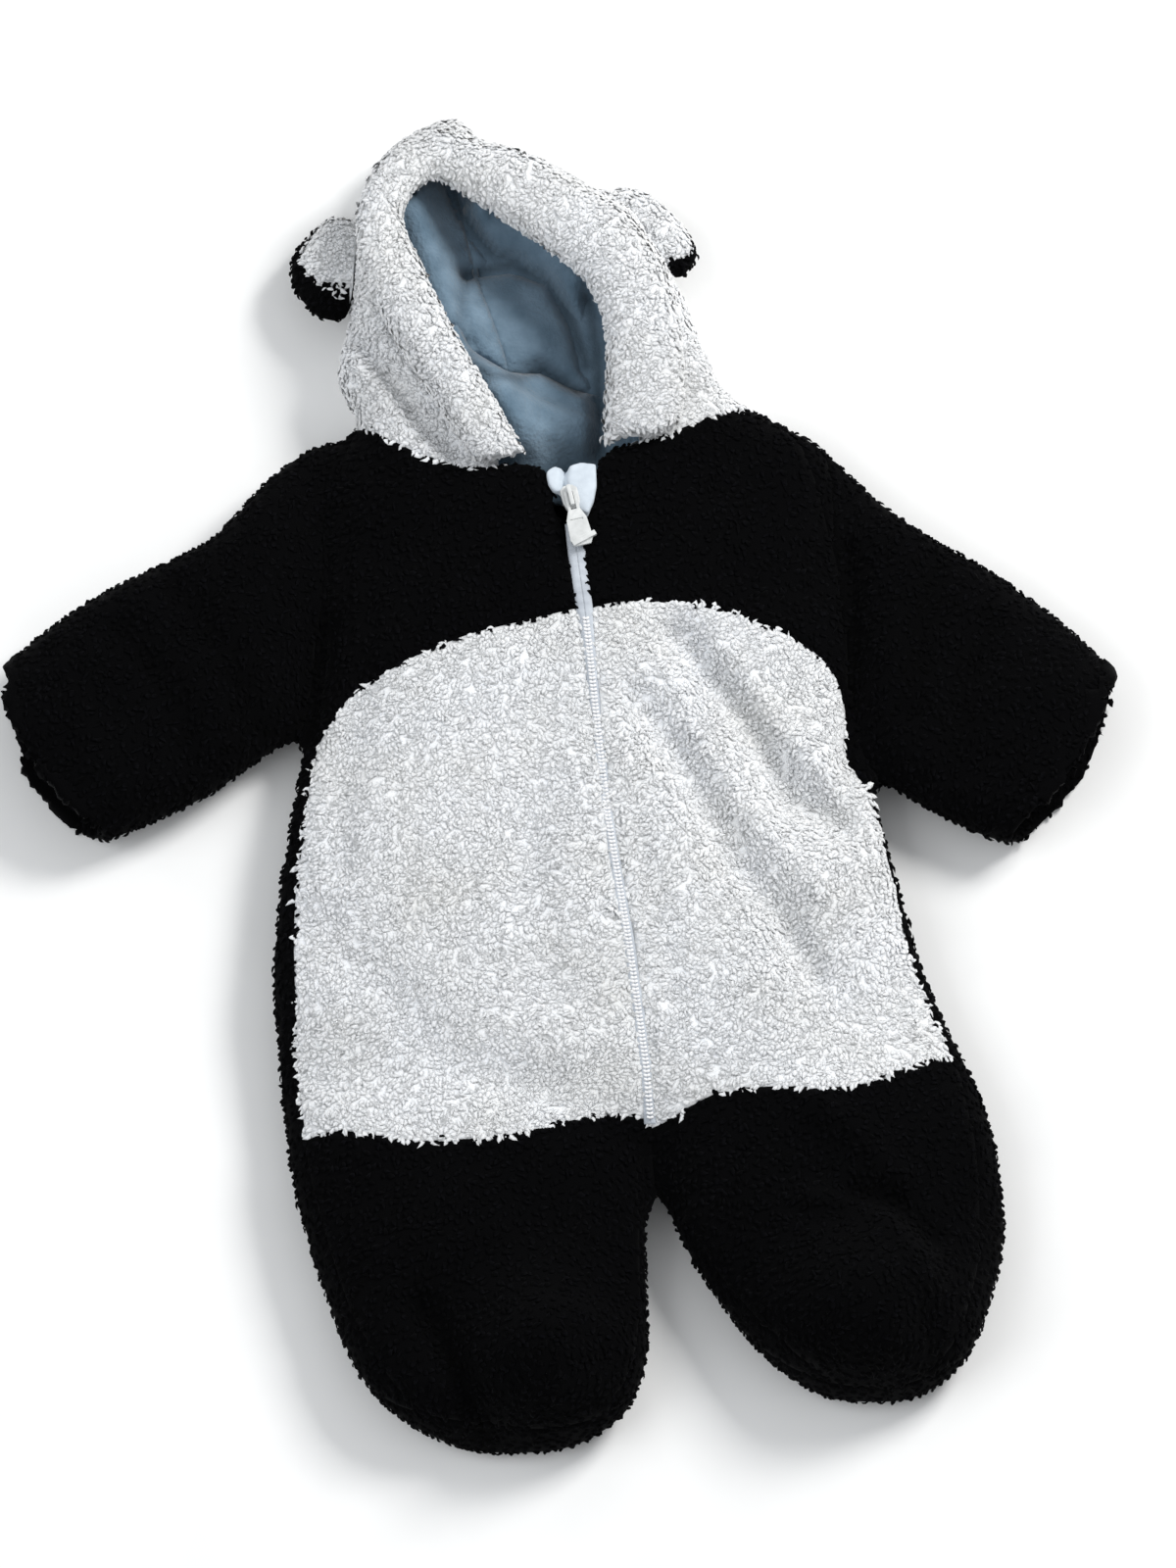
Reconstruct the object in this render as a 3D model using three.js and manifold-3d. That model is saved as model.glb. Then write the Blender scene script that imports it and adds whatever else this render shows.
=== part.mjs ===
// Hooded baby romper of sherpa fleece with feet, ears and a long front zip. It lies on its back,
// zip closed, as a hollow of cloth walls. Millimetres: +X to the picture's right, +Y to the hood,
// +Z up from the surface that it lies on. Left and right are the picture's.
import * as THREE from 'three';
import { mergeVertices } from 'three/addons/utils/BufferGeometryUtils.js';
import Module from 'manifold-3d';

const wasm = await Module();
wasm.setup();

// Cloth
const fleeceThick = 6;
const liningThick = 2.4;
const seamGap = 0.3;
const sideHeight = 0.42;
const topRoundness = 2.5;
const underRoundness = 0.6;
const underFlat = 1.25;
const leastHalf = 1.5;
const leastHigh = 3;
const frontFloor = 21;

// Facets
const bodyPointsOver = 19;
const limbPointsOver = 15;
const innerPointsOver = 11;
const pointsUnder = 4;
const ringSpacing = 15;
const limbRingSpacing = 17;
const tapeRingSpacing = 30;
const innerRingSpacing = 24;
const bandSteps = 30;
const bandPoints = 12;

// Zip hardware
const zipLean = THREE.MathUtils.degToRad(14);
const sliderAt = { x: 5.2, y: 128, z: 45.2 };
const sliderSize = { wide: 8.4, noseWide: 6, long: 12, high: 3.4 };
const bridge = { wide: 2, long: 10.4, foot: 1.9, clear: 2.4, thick: 1.5 };
const bridgeSink = 0.5;
const tab = { thick: 1.4, long: 28, neckWide: 5.2, endWide: 11, slotWide: 2.8, slotLong: 9.4 };
const tabOutline = { neckFlare: 0.3, shoulder: 5, shoulderIn: 0.6, corner: 3, cornerIn: 1.6 };
const tabGroove = { wide: 6.4, long: 1, from: 5.4, deep: 0.56 };
const tabBar = { long: 12.4, wide: 2.4, high: 2.2, x: 1, fromEnd: 2.6, sink: 0.3 };
const tabBarTilt = THREE.MathUtils.degToRad(16);
const turnClear = 0.35;
const tapeTop = 1.6;
const tapeThick = 2.2;

// Reads a short table: its columns' names, then a row of numbers for each section or fold.
function table(columns, ...rows) {
  const names = columns.split(' ');
  return rows.map((row) => Object.fromEntries(names.map((name, i) => [name, row[i]])));
}

// The body from under the hood to the crotch. The back wraps round onto the front by the two wraps.
const bodyRows = table('y left right high wrapLeft wrapRight',
  [204, -84, 64, 36, 6, 6],
  [192, -91, 80, 40, 6, 6],
  [181, -97, 98, 42, 7, 7],
  [165, -108, 122, 44, 7, 7],
  [140, -116, 131, 45, 7, 7],
  [95, -118, 138, 46, 7, 5],
  [55, -118, 142, 47, 7, 4],
  [15, -123, 146, 47, 8, 4],
  [-15, -128, 153, 48, 9, 5],
  [-55, -133, 163, 49, 9, 5],
  [-95, -136, 172, 49, 9, 6],
  [-128, -136, 181, 47, 10, 6],
  [-157, -135, 197, 44, 11, 7],
  [-176, -133, 204, 39, 11, 10],
  [-189, -128, 200, 32, 12, 12],
  [-198, -114, 186, 21, 14, 14]);

const legRowsLeft = table('y left right high wrapLeft wrapRight',
  [-146, -126, 34, 35, 10, 6],
  [-172, -132, 42, 43, 10, 6],
  [-200, -130, 43, 45, 10, 6],
  [-230, -124, 43.5, 44, 10, 6],
  [-258, -115, 44, 43, 10, 6],
  [-280, -107, 44, 44, 9, 6],
  [-300, -97, 42, 46, 9, 6],
  [-315, -86, 36, 44, 8, 6],
  [-326, -73, 27, 37, 8, 6],
  [-333, -58, 16, 27, 8, 8],
  [-338, -40, 0, 15, 8, 8]);

const legRowsRight = table('y left right high wrapLeft wrapRight',
  [-136, 56, 178, 36, 6, 10],
  [-164, 46, 200, 44, 6, 10],
  [-190, 45.5, 207, 45, 6, 10],
  [-215, 48.5, 209, 44, 6, 10],
  [-237, 57, 210, 43, 6, 10],
  [-256, 68, 207, 43, 6, 9],
  [-272, 79, 203, 45, 6, 9],
  [-287, 92, 199, 46, 7, 8],
  [-299, 103, 193, 43, 8, 8],
  [-307, 115, 181, 33, 8, 8],
  [-313, 128, 165, 17, 8, 8]);

const hoodRows = table('y left right high',
  [339, -62, -48, 12],
  [335, -70, -41, 24],
  [325, -79, -30, 34],
  [311, -88, -6, 42],
  [295, -94, 20, 47],
  [274, -98, 42, 51],
  [250, -100, 56, 54],
  [222, -102, 67, 55],
  [199, -105, 76, 54],
  [176, -100, 85, 50],
  [152, -94, 88, 44]);

const sleeveRowsLeft = table('topX topY underX underY high bow',
  [-84, 160, -94, 34, 18, 0],
  [-106, 173, -112, 26, 25, 0],
  [-122, 165, -125, 16, 36, 0],
  [-142, 149, -140, 6, 43, 2],
  [-170, 117, -162, -10, 44, 4],
  [-198, 101, -182, -20, 43, 6],
  [-222, 89, -199, -28, 42, 9],
  [-247, 71, -211, -34, 40, 13],
  [-267, 52, -219, -37, 38, 17]);

const sleeveRowsRight = table('topX topY underX underY high bow',
  [104, 152, 112, 16, 18, 0],
  [126, 166, 132, 8, 25, 0],
  [143, 150, 146, -2, 36, 0],
  [160, 131, 159, -9, 43, 0],
  [181, 117, 174, -19, 44, 2],
  [205, 103, 188, -26, 43, 4],
  [229, 85, 201, -33, 42, 6],
  [251, 67, 211, -37, 40, 8],
  [268, 47, 218, -39, 38, 10]);

// The rolled band round the face opening, from its left end at the neck over the top to its right end.
const bandRows = table('x y high wide thick',
  [-26, 138, 49, 25, 12],
  [-31, 152, 55, 26, 15],
  [-43, 173, 60, 27, 18],
  [-55, 192, 62, 28, 19],
  [-65, 210, 62, 29, 19],
  [-74, 229, 61, 30, 19],
  [-83, 251, 59, 29, 18],
  [-87, 273, 56, 24, 16],
  [-80, 293, 53, 25, 16],
  [-61, 308, 51, 28, 16],
  [-37, 299, 54, 35, 18],
  [-9, 280, 58, 39, 20],
  [15, 262, 61, 39, 21],
  [31, 243, 63, 39, 22],
  [39, 220, 64, 38, 22],
  [41, 195, 63, 39, 22],
  [40, 172, 59, 40, 19],
  [38, 153, 53, 38, 15],
  [36, 138, 48, 36, 12]);

// Ear outlines along their axes: how far out from its root, its half width and its thickness.
const earRowsLeft = table('out half thick',
  [-15, 26, 11],
  [-2, 29, 14],
  [10, 29, 15],
  [20, 24, 14],
  [27, 16, 12],
  [31, 7, 8]);

const earRowsRight = table('out half thick',
  [-16, 16, 11],
  [-3, 19, 13],
  [11, 20, 14],
  [24, 19, 13],
  [35, 15, 11],
  [42, 8, 8]);

// Where each ear's root is, and how far its white face is set to one side of its black back.
const earPlaces = table('x y z turn tilt aside',
  [-99, 256, 19, 184, 18, -3.4],
  [27, 278, 21, -29, -16, 3.4]);

// Folds of the front: a trough along a line, or a ridge where its depth is negative.
const folds = table('fromX fromY toX toY wide deep',
  [60, 46, 108, -20, 14, 4],
  [108, -20, 136, -35, 13, 4],
  [54, 12, 117, -94, 15, 5],
  [117, -94, 136, -126, 14, 4],
  [-12, -40, -12, -118, 20, 2],
  [-112, 60, -120, 8, 12, 4],
  [-62, -276, -34, -334, 15, 7],
  [121, -178, 158, -212, 15, -4],
  [140, -224, 176, -246, 12, 5],
  [172, -280, 178, -308, 12, 4],
  [-150, 112, -206, 20, 16, 3],
  [186, 98, 196, -8, 16, 4]);

// Rounded rises: the two toes, and the slack cloth beside the right armhole.
const rises = table('x y reach high',
  [-4, -303, 52, 20],
  [148, -274, 62, 21],
  [-76, -252, 60, 4]);

// Seams in plan
const neckSeam = [[-180, 182], [-112, 178], [-92, 168], [-72, 155], [-47, 147], [-16, 146], [19, 150], [42, 157],
  [60, 166], [74, 174], [90, 181], [120, 192], [180, 200]];
const tummySeam = [[-170, -12], [-128, -4], [-114, 8], [-106, 25], [-90, 38], [-66, 50], [-43, 59], [-19, 65],
  [12, 73], [51, 76], [79, 71], [103, 63], [121, 54], [133, 41], [137, 24], [136, 8], [139, -5], [150, -14],
  [190, -22]];
const legSeam = [[-190, -186], [-122, -190], [-94, -192], [-66, -197], [-33, -195], [-10, -190], [9, -184],
  [34, -181], [45, -186], [56, -180], [75, -171], [94, -168], [131, -172], [150, -165], [169, -156], [190, -148],
  [240, -140]];
const backSeam = [[-4, 215], [4, 120], [20, 0], [32, -90], [42, -170], [44.5, -260]];
const hoodSeam = [[-56, 345], [-50, 300], [-36, 240], [-20, 190], [-6, 120]];
const soleSeamLeft = [[-120, -300], [-90, -312], [-50, -324], [-12, -326], [22, -319], [60, -298]];
const soleSeamRight = [[76, -272], [98, -290], [118, -301], [144, -308], [168, -306], [190, -297], [230, -276]];
const soleLean = 1.1;
const liningSeam = [[-130, 214], [-70, 214], [-43, 211], [-22, 203], [-10, 206], [10, 197], [60, 190], [120, 190]];

// The zip's slot between the fronts.
const zipRows = table('y x wide',
  [160, 4, 28],
  [148, 4.4, 25],
  [136, 5, 18],
  [124, 6, 13],
  [112, 7.2, 10.4],
  [95, 8.6, 9],
  [74, 11.4, 8.6],
  [60, 13, 7],
  [20, 17, 5.6],
  [-30, 22, 5.6],
  [-100, 33, 5.6],
  [-160, 41, 5.6],
  [-188, 43.5, 5.6]);
const zipTop = 117;
const zipEnd = -184;
const guardTop = 149;
const guardInset = 0.4;
const guardThick = 4.6;

// A geometry as a solid for cutting, with its faces outward.
function solidOf(geometry) {
  const bare = geometry.clone();
  bare.deleteAttribute('normal');
  bare.deleteAttribute('uv');
  const merged = mergeVertices(bare, 1e-4);
  return new wasm.Manifold(new wasm.Mesh({
    numProp: 3,
    vertProperties: Float32Array.from(merged.attributes.position.array),
    triVerts: Uint32Array.from(merged.index.array),
  }));
}

const joined = (solids) => solids.reduce((whole, solid) => whole.add(solid));

// The main body of a cut piece, without the crumbs that a seam may leave beside it.
function withoutCrumbs(solid) {
  return solid.decompose().reduce((main, body) => (body.volume() > main.volume() ? body : main));
}

function geometryOf(solid) {
  const mesh = solid.getMesh();
  const geometry = new THREE.BufferGeometry();
  geometry.setAttribute('position', new THREE.BufferAttribute(Float32Array.from(mesh.vertProperties), 3));
  geometry.setIndex(Array.from(mesh.triVerts));
  geometry.computeVertexNormals();
  return geometry;
}

// Rings of equally many points, skinned, with a fan at each end.
function loft(rings) {
  const around = rings[0].length;
  const positions = rings.flat().flatMap((point) => [point.x, point.y, point.z]);
  const index = [];
  const middleOf = (ring) => ring.reduce((sum, point) => sum.add(point), new THREE.Vector3())
    .divideScalar(around);
  for (let i = 0; i < rings.length - 1; i += 1) {
    for (let j = 0; j < around; j += 1) {
      const next = (j + 1) % around;
      const a = i * around + j;
      const b = i * around + next;
      index.push(a, b, a + around, b, b + around, a + around);
    }
  }
  const first = rings.length * around;
  positions.push(...middleOf(rings[0]).toArray(), ...middleOf(rings.at(-1)).toArray());
  const last = (rings.length - 1) * around;
  for (let j = 0; j < around; j += 1) {
    const next = (j + 1) % around;
    index.push(first, next, j, first + 1, last + j, last + next);
  }
  const geometry = new THREE.BufferGeometry();
  geometry.setAttribute('position', new THREE.Float32BufferAttribute(positions, 3));
  geometry.setIndex(volumeOf(positions, index) < 0 ? index.reverse() : index);
  return geometry;
}

function volumeOf(positions, index) {
  const corner = (k) => new THREE.Vector3().fromArray(positions, index[k] * 3);
  let volume = 0;
  for (let k = 0; k < index.length; k += 3) {
    volume += corner(k).dot(corner(k + 1).cross(corner(k + 2))) / 6;
  }
  return volume;
}

// How much the folds and rises lift the front at a place.
function relief(x, y) {
  const place = new THREE.Vector3(x, y, 0);
  const nearest = new THREE.Vector3();
  let lift = 0;
  for (const fold of folds) {
    const line = new THREE.Line3(new THREE.Vector3(fold.fromX, fold.fromY, 0),
      new THREE.Vector3(fold.toX, fold.toY, 0));
    const away = line.closestPointToPoint(place, true, nearest).distanceTo(place);
    lift -= fold.deep * Math.exp(-((away / fold.wide) ** 2));
  }
  for (const rise of rises) {
    const away = Math.hypot(x - rise.x, y - rise.y) / rise.reach;
    lift += rise.high * Math.max(0, 1 - away * away) ** 2;
  }
  return lift;
}

// Both edges of every section of a tube of cloth as plan points, smoothed through its rows and moved
// out by grow, with the section's height and bow.
function sectionsOf(rows, { grow = 0, spacing = ringSpacing, startReach = grow, endReach = grow }) {
  const edges = rows.map((row) => (row.topX === undefined
    ? { a: [row.left, row.y], b: [row.right, row.y], high: row.high, bow: 0 }
    : { a: [row.topX, row.topY], b: [row.underX, row.underY], high: row.high, bow: row.bow }));
  const curve = (pick) => new THREE.CatmullRomCurve3(edges.map(pick), false, 'centripetal');
  const sideA = curve((edge) => new THREE.Vector3(...edge.a, edge.high));
  const sideB = curve((edge) => new THREE.Vector3(...edge.b, edge.bow));
  const flat = (vector) => new THREE.Vector2(vector.x, vector.y);
  const middle = (t) => flat(sideA.getPoint(t)).add(flat(sideB.getPoint(t))).divideScalar(2);
  const axis = middle(1).sub(middle(0));
  const steps = Math.round(axis.length() / spacing);
  const along = axis.normalize();
  return Array.from({ length: steps + 1 }, (_, i) => {
    const t = i / steps;
    const a = sideA.getPoint(t);
    const b = sideB.getPoint(t);
    const out = flat(a).sub(flat(b)).normalize();
    const shift = along.clone().multiplyScalar(t * endReach - (1 - t) * startReach);
    const half = Math.max(flat(a).distanceTo(flat(b)) / 2 + grow, leastHalf);
    const centre = flat(a).add(flat(b)).divideScalar(2).add(shift);
    return { centre, out, half, along, high: Math.max(a.z + 2 * grow, leastHigh), bow: b.z, floor: -grow };
  });
}

// One pillow-shaped ring, flat underneath and domed on top, with the folds of the front in its dome.
function ringOf(section, over) {
  const { centre, out, half, along, high, bow, floor } = section;
  const side = floor + high * sideHeight;
  const crown = floor + high - side;
  const place = (across, z, dome) => {
    const plan = centre.clone().addScaledVector(out, across * half)
      .addScaledVector(along, bow * (1 - across * across));
    return new THREE.Vector3(plan.x, plan.y, z + relief(plan.x, plan.y) * dome);
  };
  const ring = [];
  for (let i = 0; i < over; i += 1) {
    const turn = Math.PI * i / over;
    const across = Math.sign(Math.cos(turn)) * Math.abs(Math.cos(turn)) ** (2 / topRoundness);
    const rise = Math.sin(turn) ** (2 / topRoundness);
    ring.push(place(across, side + crown * rise, rise ** 2));
  }
  for (let i = 0; i < pointsUnder; i += 1) {
    const turn = Math.PI * i / pointsUnder;
    const across = -Math.sign(Math.cos(turn)) * Math.abs(Math.cos(turn)) ** underRoundness;
    const sink = Math.min(1, underFlat * Math.sin(turn) ** underRoundness);
    ring.push(place(across, side - (side - floor) * sink, 0));
  }
  return ring;
}

const tube = (rows, over, options) => solidOf(loft(
  sectionsOf(rows, options).map((section) => ringOf(section, over))));
const outerTube = (rows, options) => tube(rows, bodyPointsOver, options);
const limbTube = (rows, options) => tube(rows, limbPointsOver, { spacing: limbRingSpacing, ...options });
const innerTube = (rows, options) => tube(rows, innerPointsOver, { spacing: innerRingSpacing, ...options });

// Plan shapes stood up as prisms, sheared in y by lean for each millimetre of height.
function prism(points, low, high, lean = 0) {
  const shape = new THREE.Shape(points.map(([x, y]) => new THREE.Vector2(x, y)));
  const geometry = new THREE.ExtrudeGeometry(shape, { depth: high - low, bevelEnabled: false });
  geometry.translate(0, 0, low);
  geometry.applyMatrix4(new THREE.Matrix4().makeShear(0, 0, 0, 0, 0, lean));
  return solidOf(geometry);
}

const farOut = 420;
const skyHigh = 140;
const farDown = -20;

function smoothLine(points, perPoint = 2) {
  const curve = new THREE.SplineCurve(points.map(([x, y]) => new THREE.Vector2(x, y)));
  return curve.getPoints((points.length - 1) * perPoint).map((point) => [point.x, point.y]);
}

// A thin upright wall along a line, to part the pieces on its two sides.
function seamWall(line, wide = seamGap, low = farDown, high = skyHigh) {
  const side = (sign) => line.map(([x, y], i) => {
    const [x0, y0] = line[Math.max(i - 1, 0)];
    const [x1, y1] = line[Math.min(i + 1, line.length - 1)];
    const along = new THREE.Vector2(x1 - x0, y1 - y0).normalize();
    return [x - sign * along.y * wide / 2, y + sign * along.x * wide / 2];
  });
  return prism([...side(1), ...side(-1).reverse()], low, high);
}

const above = (line, low = farDown) => prism(
  [...line, [farOut, line.at(-1)[1]], [farOut, farOut], [-farOut, farOut], [-farOut, line[0][1]]], low, skyHigh);
const below = (line, low = farDown) => prism(
  [...line, [farOut, line.at(-1)[1]], [farOut, -farOut], [-farOut, -farOut], [-farOut, line[0][1]]], low, skyHigh);
const leftOf = (line) => prism(
  [...line, [line.at(-1)[0], -farOut], [-farOut, -farOut], [-farOut, farOut], [line[0][0], farOut]],
  farDown, skyHigh);
const rightOf = (line) => prism(
  [...line, [line.at(-1)[0], -farOut], [farOut, -farOut], [farOut, farOut], [line[0][0], farOut]],
  farDown, skyHigh);

// The plan of a tube inside its wraps, where the front's pieces are.
function frontArea(rows, ease, low) {
  const left = rows.map((row) => [row.left + row.wrapLeft + ease, row.y]);
  const right = rows.map((row) => [row.right - row.wrapRight - ease, row.y]);
  return prism([...left, ...right.reverse()], low, skyHigh);
}

// Whole garment: outer form, hollow and the cloth between them
const cuffReach = 14;
const armReach = 8;
const trunkRows = [bodyRows, legRowsLeft, legRowsRight];
const trunkForm = (grow) => joined([outerTube(bodyRows, { grow }), limbTube(legRowsLeft, { grow }),
  limbTube(legRowsRight, { grow })]);
const bodyForm = trunkForm(0);
const bodyFormEased = trunkForm(seamGap);
const hoodForm = limbTube(hoodRows);
const bodyHollow = joined(trunkRows.map((rows) => innerTube(rows, { grow: -fleeceThick })));
const hoodHollow = innerTube(hoodRows, { grow: -fleeceThick });
const sleeveHollow = (rows) => innerTube(rows, {
  grow: -fleeceThick, startReach: armReach, endReach: cuffReach,
});
const sleeveHollows = joined([sleeveHollow(sleeveRowsLeft), sleeveHollow(sleeveRowsRight)]);
const cloth = bodyForm.add(hoodForm).subtract(bodyHollow).subtract(hoodHollow).subtract(sleeveHollows);

const neckLine = smoothLine(neckSeam);
const tummyLine = smoothLine(tummySeam);
const legLine = smoothLine(legSeam);
const backLine = smoothLine(backSeam);
const hoodLine = smoothLine(hoodSeam);

// Front, back and soles
const fronts = joined(trunkRows.map((rows) => frontArea(rows, seamGap / 2, frontFloor)));
const frontsEased = joined(trunkRows.map((rows) => frontArea(rows, -seamGap / 2, frontFloor - seamGap)));
const zipEdge = (sign, ease) => zipRows.map((row) => [row.x + sign * (row.wide / 2 + ease), row.y]);
const crotchX = 44.5;
const footOverlap = 0.01;
const legSplit = (sign) => [[crotchX + sign * seamGap / 2, zipRows.at(-1).y - 2]];
const leftFront = leftOf([...zipEdge(-1, 0), ...legSplit(-1)]);
const rightFront = rightOf([...zipEdge(1, 0), ...legSplit(1)]);
const slanted = (line, sign, shift) => {
  const points = smoothLine(line).map(([x, y]) => [x, y + shift + soleLean * frontFloor]);
  const area = [...points, [farOut, points.at(-1)[1]], [farOut, -farOut], [-farOut, -farOut],
    [-farOut, points[0][1]]];
  const side = prism([[crotchX, -farOut], [crotchX, farOut], [sign * farOut, farOut], [sign * farOut, -farOut]],
    farDown, skyHigh);
  return prism(area, 0, skyHigh, -soleLean).add(prism(area, farDown, footOverlap)).intersect(side);
};
const soleLeftArea = slanted(soleSeamLeft, -1, -seamGap);
const soleRightArea = slanted(soleSeamRight, 1, -seamGap);
const solesEased = slanted(soleSeamLeft, -1, 0).add(slanted(soleSeamRight, 1, 0));

const hoodSide = above(neckLine);
const bodySide = below(neckLine);
const neckGap = seamWall(neckLine);
const bodyCloth = cloth.intersect(bodySide).subtract(neckGap);
const upperCloth = bodyCloth.subtract(solesEased);
const frontCloth = upperCloth.intersect(fronts).subtract(seamWall(tummyLine)).subtract(seamWall(legLine));
const backCloth = upperCloth.subtract(frontsEased);

const backGap = seamWall(backLine);
const yokeArea = above(tummyLine);
const legArea = below(legLine);
const tummyArea = below(tummyLine).subtract(legArea);

// Hood, band and lining
function bandTube(grow) {
  const path = new THREE.CatmullRomCurve3(bandRows.map((row) => new THREE.Vector3(row.x, row.y, row.high)));
  const sizes = new THREE.CatmullRomCurve3(bandRows.map((row) => new THREE.Vector3(row.wide, row.thick, 0)));
  const rings = Array.from({ length: bandSteps + 1 }, (_, i) => {
    const t = i / bandSteps;
    const at = path.getPoint(t);
    const size = sizes.getPoint(t);
    const ahead = path.getPoint(Math.min(t + 0.01, 1)).sub(path.getPoint(Math.max(t - 0.01, 0)));
    const across = new THREE.Vector3(ahead.y, -ahead.x, 0).normalize();
    return Array.from({ length: bandPoints }, (__, j) => {
      const turn = 2 * Math.PI * j / bandPoints;
      const point = at.clone().addScaledVector(across, (size.x / 2 + grow) * Math.cos(turn));
      point.z += (size.y / 2 + grow) * Math.sin(turn) - size.y / 2;
      return point;
    });
  });
  return solidOf(loft(rings));
}

const openingFloor = 26;
const faceOpening = prism(bandRows.map((row) => [row.x, row.y]), openingFloor, skyHigh);
const bandEased = bandTube(seamGap);
const hoodBand = bandTube(0).intersect(hoodSide).subtract(neckGap);
const hoodCloth = cloth.intersect(hoodSide).subtract(neckGap).subtract(bandEased).subtract(faceOpening);

const liningOut = fleeceThick + seamGap;
const liningIn = liningOut + liningThick;
const lined = (grow) => joined([bodyRows, hoodRows].map((rows) => innerTube(rows, { grow: -grow })));
const liningEnd = [[-farOut, 139], [farOut, 139]];
const liningFloor = openingFloor - 4;
const liningCloth = lined(liningOut).subtract(lined(liningIn))
  .intersect(above(liningEnd))
  .subtract(below(neckLine, liningFloor))
  .subtract(neckGap.intersect(above(liningEnd, liningFloor)))
  .subtract(faceOpening)
  .subtract(bandEased)
  .subtract(sleeveHollows);
const liningLine = smoothLine(liningSeam);
const liningUpper = liningCloth.intersect(above(liningLine)).subtract(seamWall(liningLine));
const liningNeck = liningCloth.intersect(below(liningLine)).subtract(seamWall(liningLine));

// Sleeves, open at the cuff and into the body
const sleeve = (rows) => limbTube(rows, { endReach: 0 }).subtract(sleeveHollow(rows))
  .subtract(bodyFormEased).subtract(hoodForm).subtract(bodyHollow);

// Ears: a black back that cups a smaller white face
const earPoints = 12;
const faceInset = 4.5;
const faceFloor = 0.5;
const faceSwell = 0.6;

function earForm(rows, grow, shrink, floor) {
  const rings = rows.map((row) => {
    const half = row.half + grow - shrink;
    const deep = row.thick / 2 + grow;
    const out = row.out * (1 - shrink / rows.at(-1).out);
    return Array.from({ length: earPoints }, (_, j) => {
      const turn = 2 * Math.PI * j / earPoints;
      return new THREE.Vector3(out, half * Math.cos(turn), Math.max(deep * Math.sin(turn), floor));
    });
  });
  return solidOf(loft(rings));
}

function ear(rows, place, white) {
  const face = (grow) => earForm(rows, faceSwell + grow, faceInset, faceFloor - grow)
    .translate(0, place.aside, 0);
  const form = white ? face(0) : earForm(rows, 0, 0, farDown).subtract(face(seamGap));
  const turn = new THREE.Matrix4().makeRotationZ(THREE.MathUtils.degToRad(place.turn));
  const tilt = new THREE.Matrix4().makeRotationX(THREE.MathUtils.degToRad(place.tilt));
  const move = new THREE.Matrix4().makeTranslation(place.x, place.y, place.z);
  const geometry = geometryOf(form).applyMatrix4(move.multiply(turn).multiply(tilt));
  return solidOf(geometry).subtract(limbTube(hoodRows, { grow: seamGap })).subtract(bandEased);
}

// Zip: tapes in the slot, a soft guard behind its top
function frontLayer(top, thick) {
  const layer = (grow) => outerTube(bodyRows, { grow, spacing: tapeRingSpacing });
  return layer(-top).subtract(layer(-top - thick)).intersect(
    prism([[-farOut, -farOut], [farOut, -farOut], [farOut, farOut], [-farOut, farOut]], frontFloor, skyHigh));
}
const zipMiddle = zipRows.map((row) => [row.x, row.y]);
const slotArea = leftOf(zipEdge(1, -seamGap)).intersect(rightOf(zipEdge(-1, -seamGap)));
const bandOfY = (low, high) => prism([[-farOut, low], [farOut, low], [farOut, high], [-farOut, high]],
  farDown, skyHigh);
const tapes = frontLayer(tapeTop, tapeThick).intersect(slotArea)
  .intersect(bandOfY(zipEnd, zipTop - seamGap)).subtract(seamWall(zipMiddle));
const chinGuard = frontLayer(guardInset, guardThick).intersect(slotArea)
  .intersect(bandOfY(zipTop, guardTop));

// Slider and pull tab, drawn along their own axis and then laid over the zip
function boxAt(width, length, height, x, y, z) {
  const geometry = new THREE.BoxGeometry(width, length, height);
  geometry.translate(x, y, z + height / 2);
  return solidOf(geometry);
}

function sliderForm() {
  const { wide, noseWide, long, high } = sliderSize;
  const outline = [[-noseWide / 2, -long / 2], [noseWide / 2, -long / 2], [wide / 2, -long / 6], [wide / 2, long / 3],
    [wide / 4, long / 2], [-wide / 4, long / 2], [-wide / 2, long / 3], [-wide / 2, -long / 6]];
  const body = prism(outline, 0, high);
  const footAt = bridge.long / 2 - bridge.foot / 2;
  const low = high - bridgeSink;
  const feet = [footAt, -footAt].map((y) => boxAt(bridge.wide, bridge.foot, bridge.clear + bridge.thick, 0, y, low));
  const beam = boxAt(bridge.wide, bridge.long, bridge.thick, 0, 0, low + bridge.clear);
  return joined([body, ...feet, beam]);
}

const pinClear = 0.5;
const tabAxis = {
  y: bridge.long / 2 - bridge.foot - pinClear - tab.thick / 2,
  z: sliderSize.high + turnClear + tab.thick / 2,
};

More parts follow.
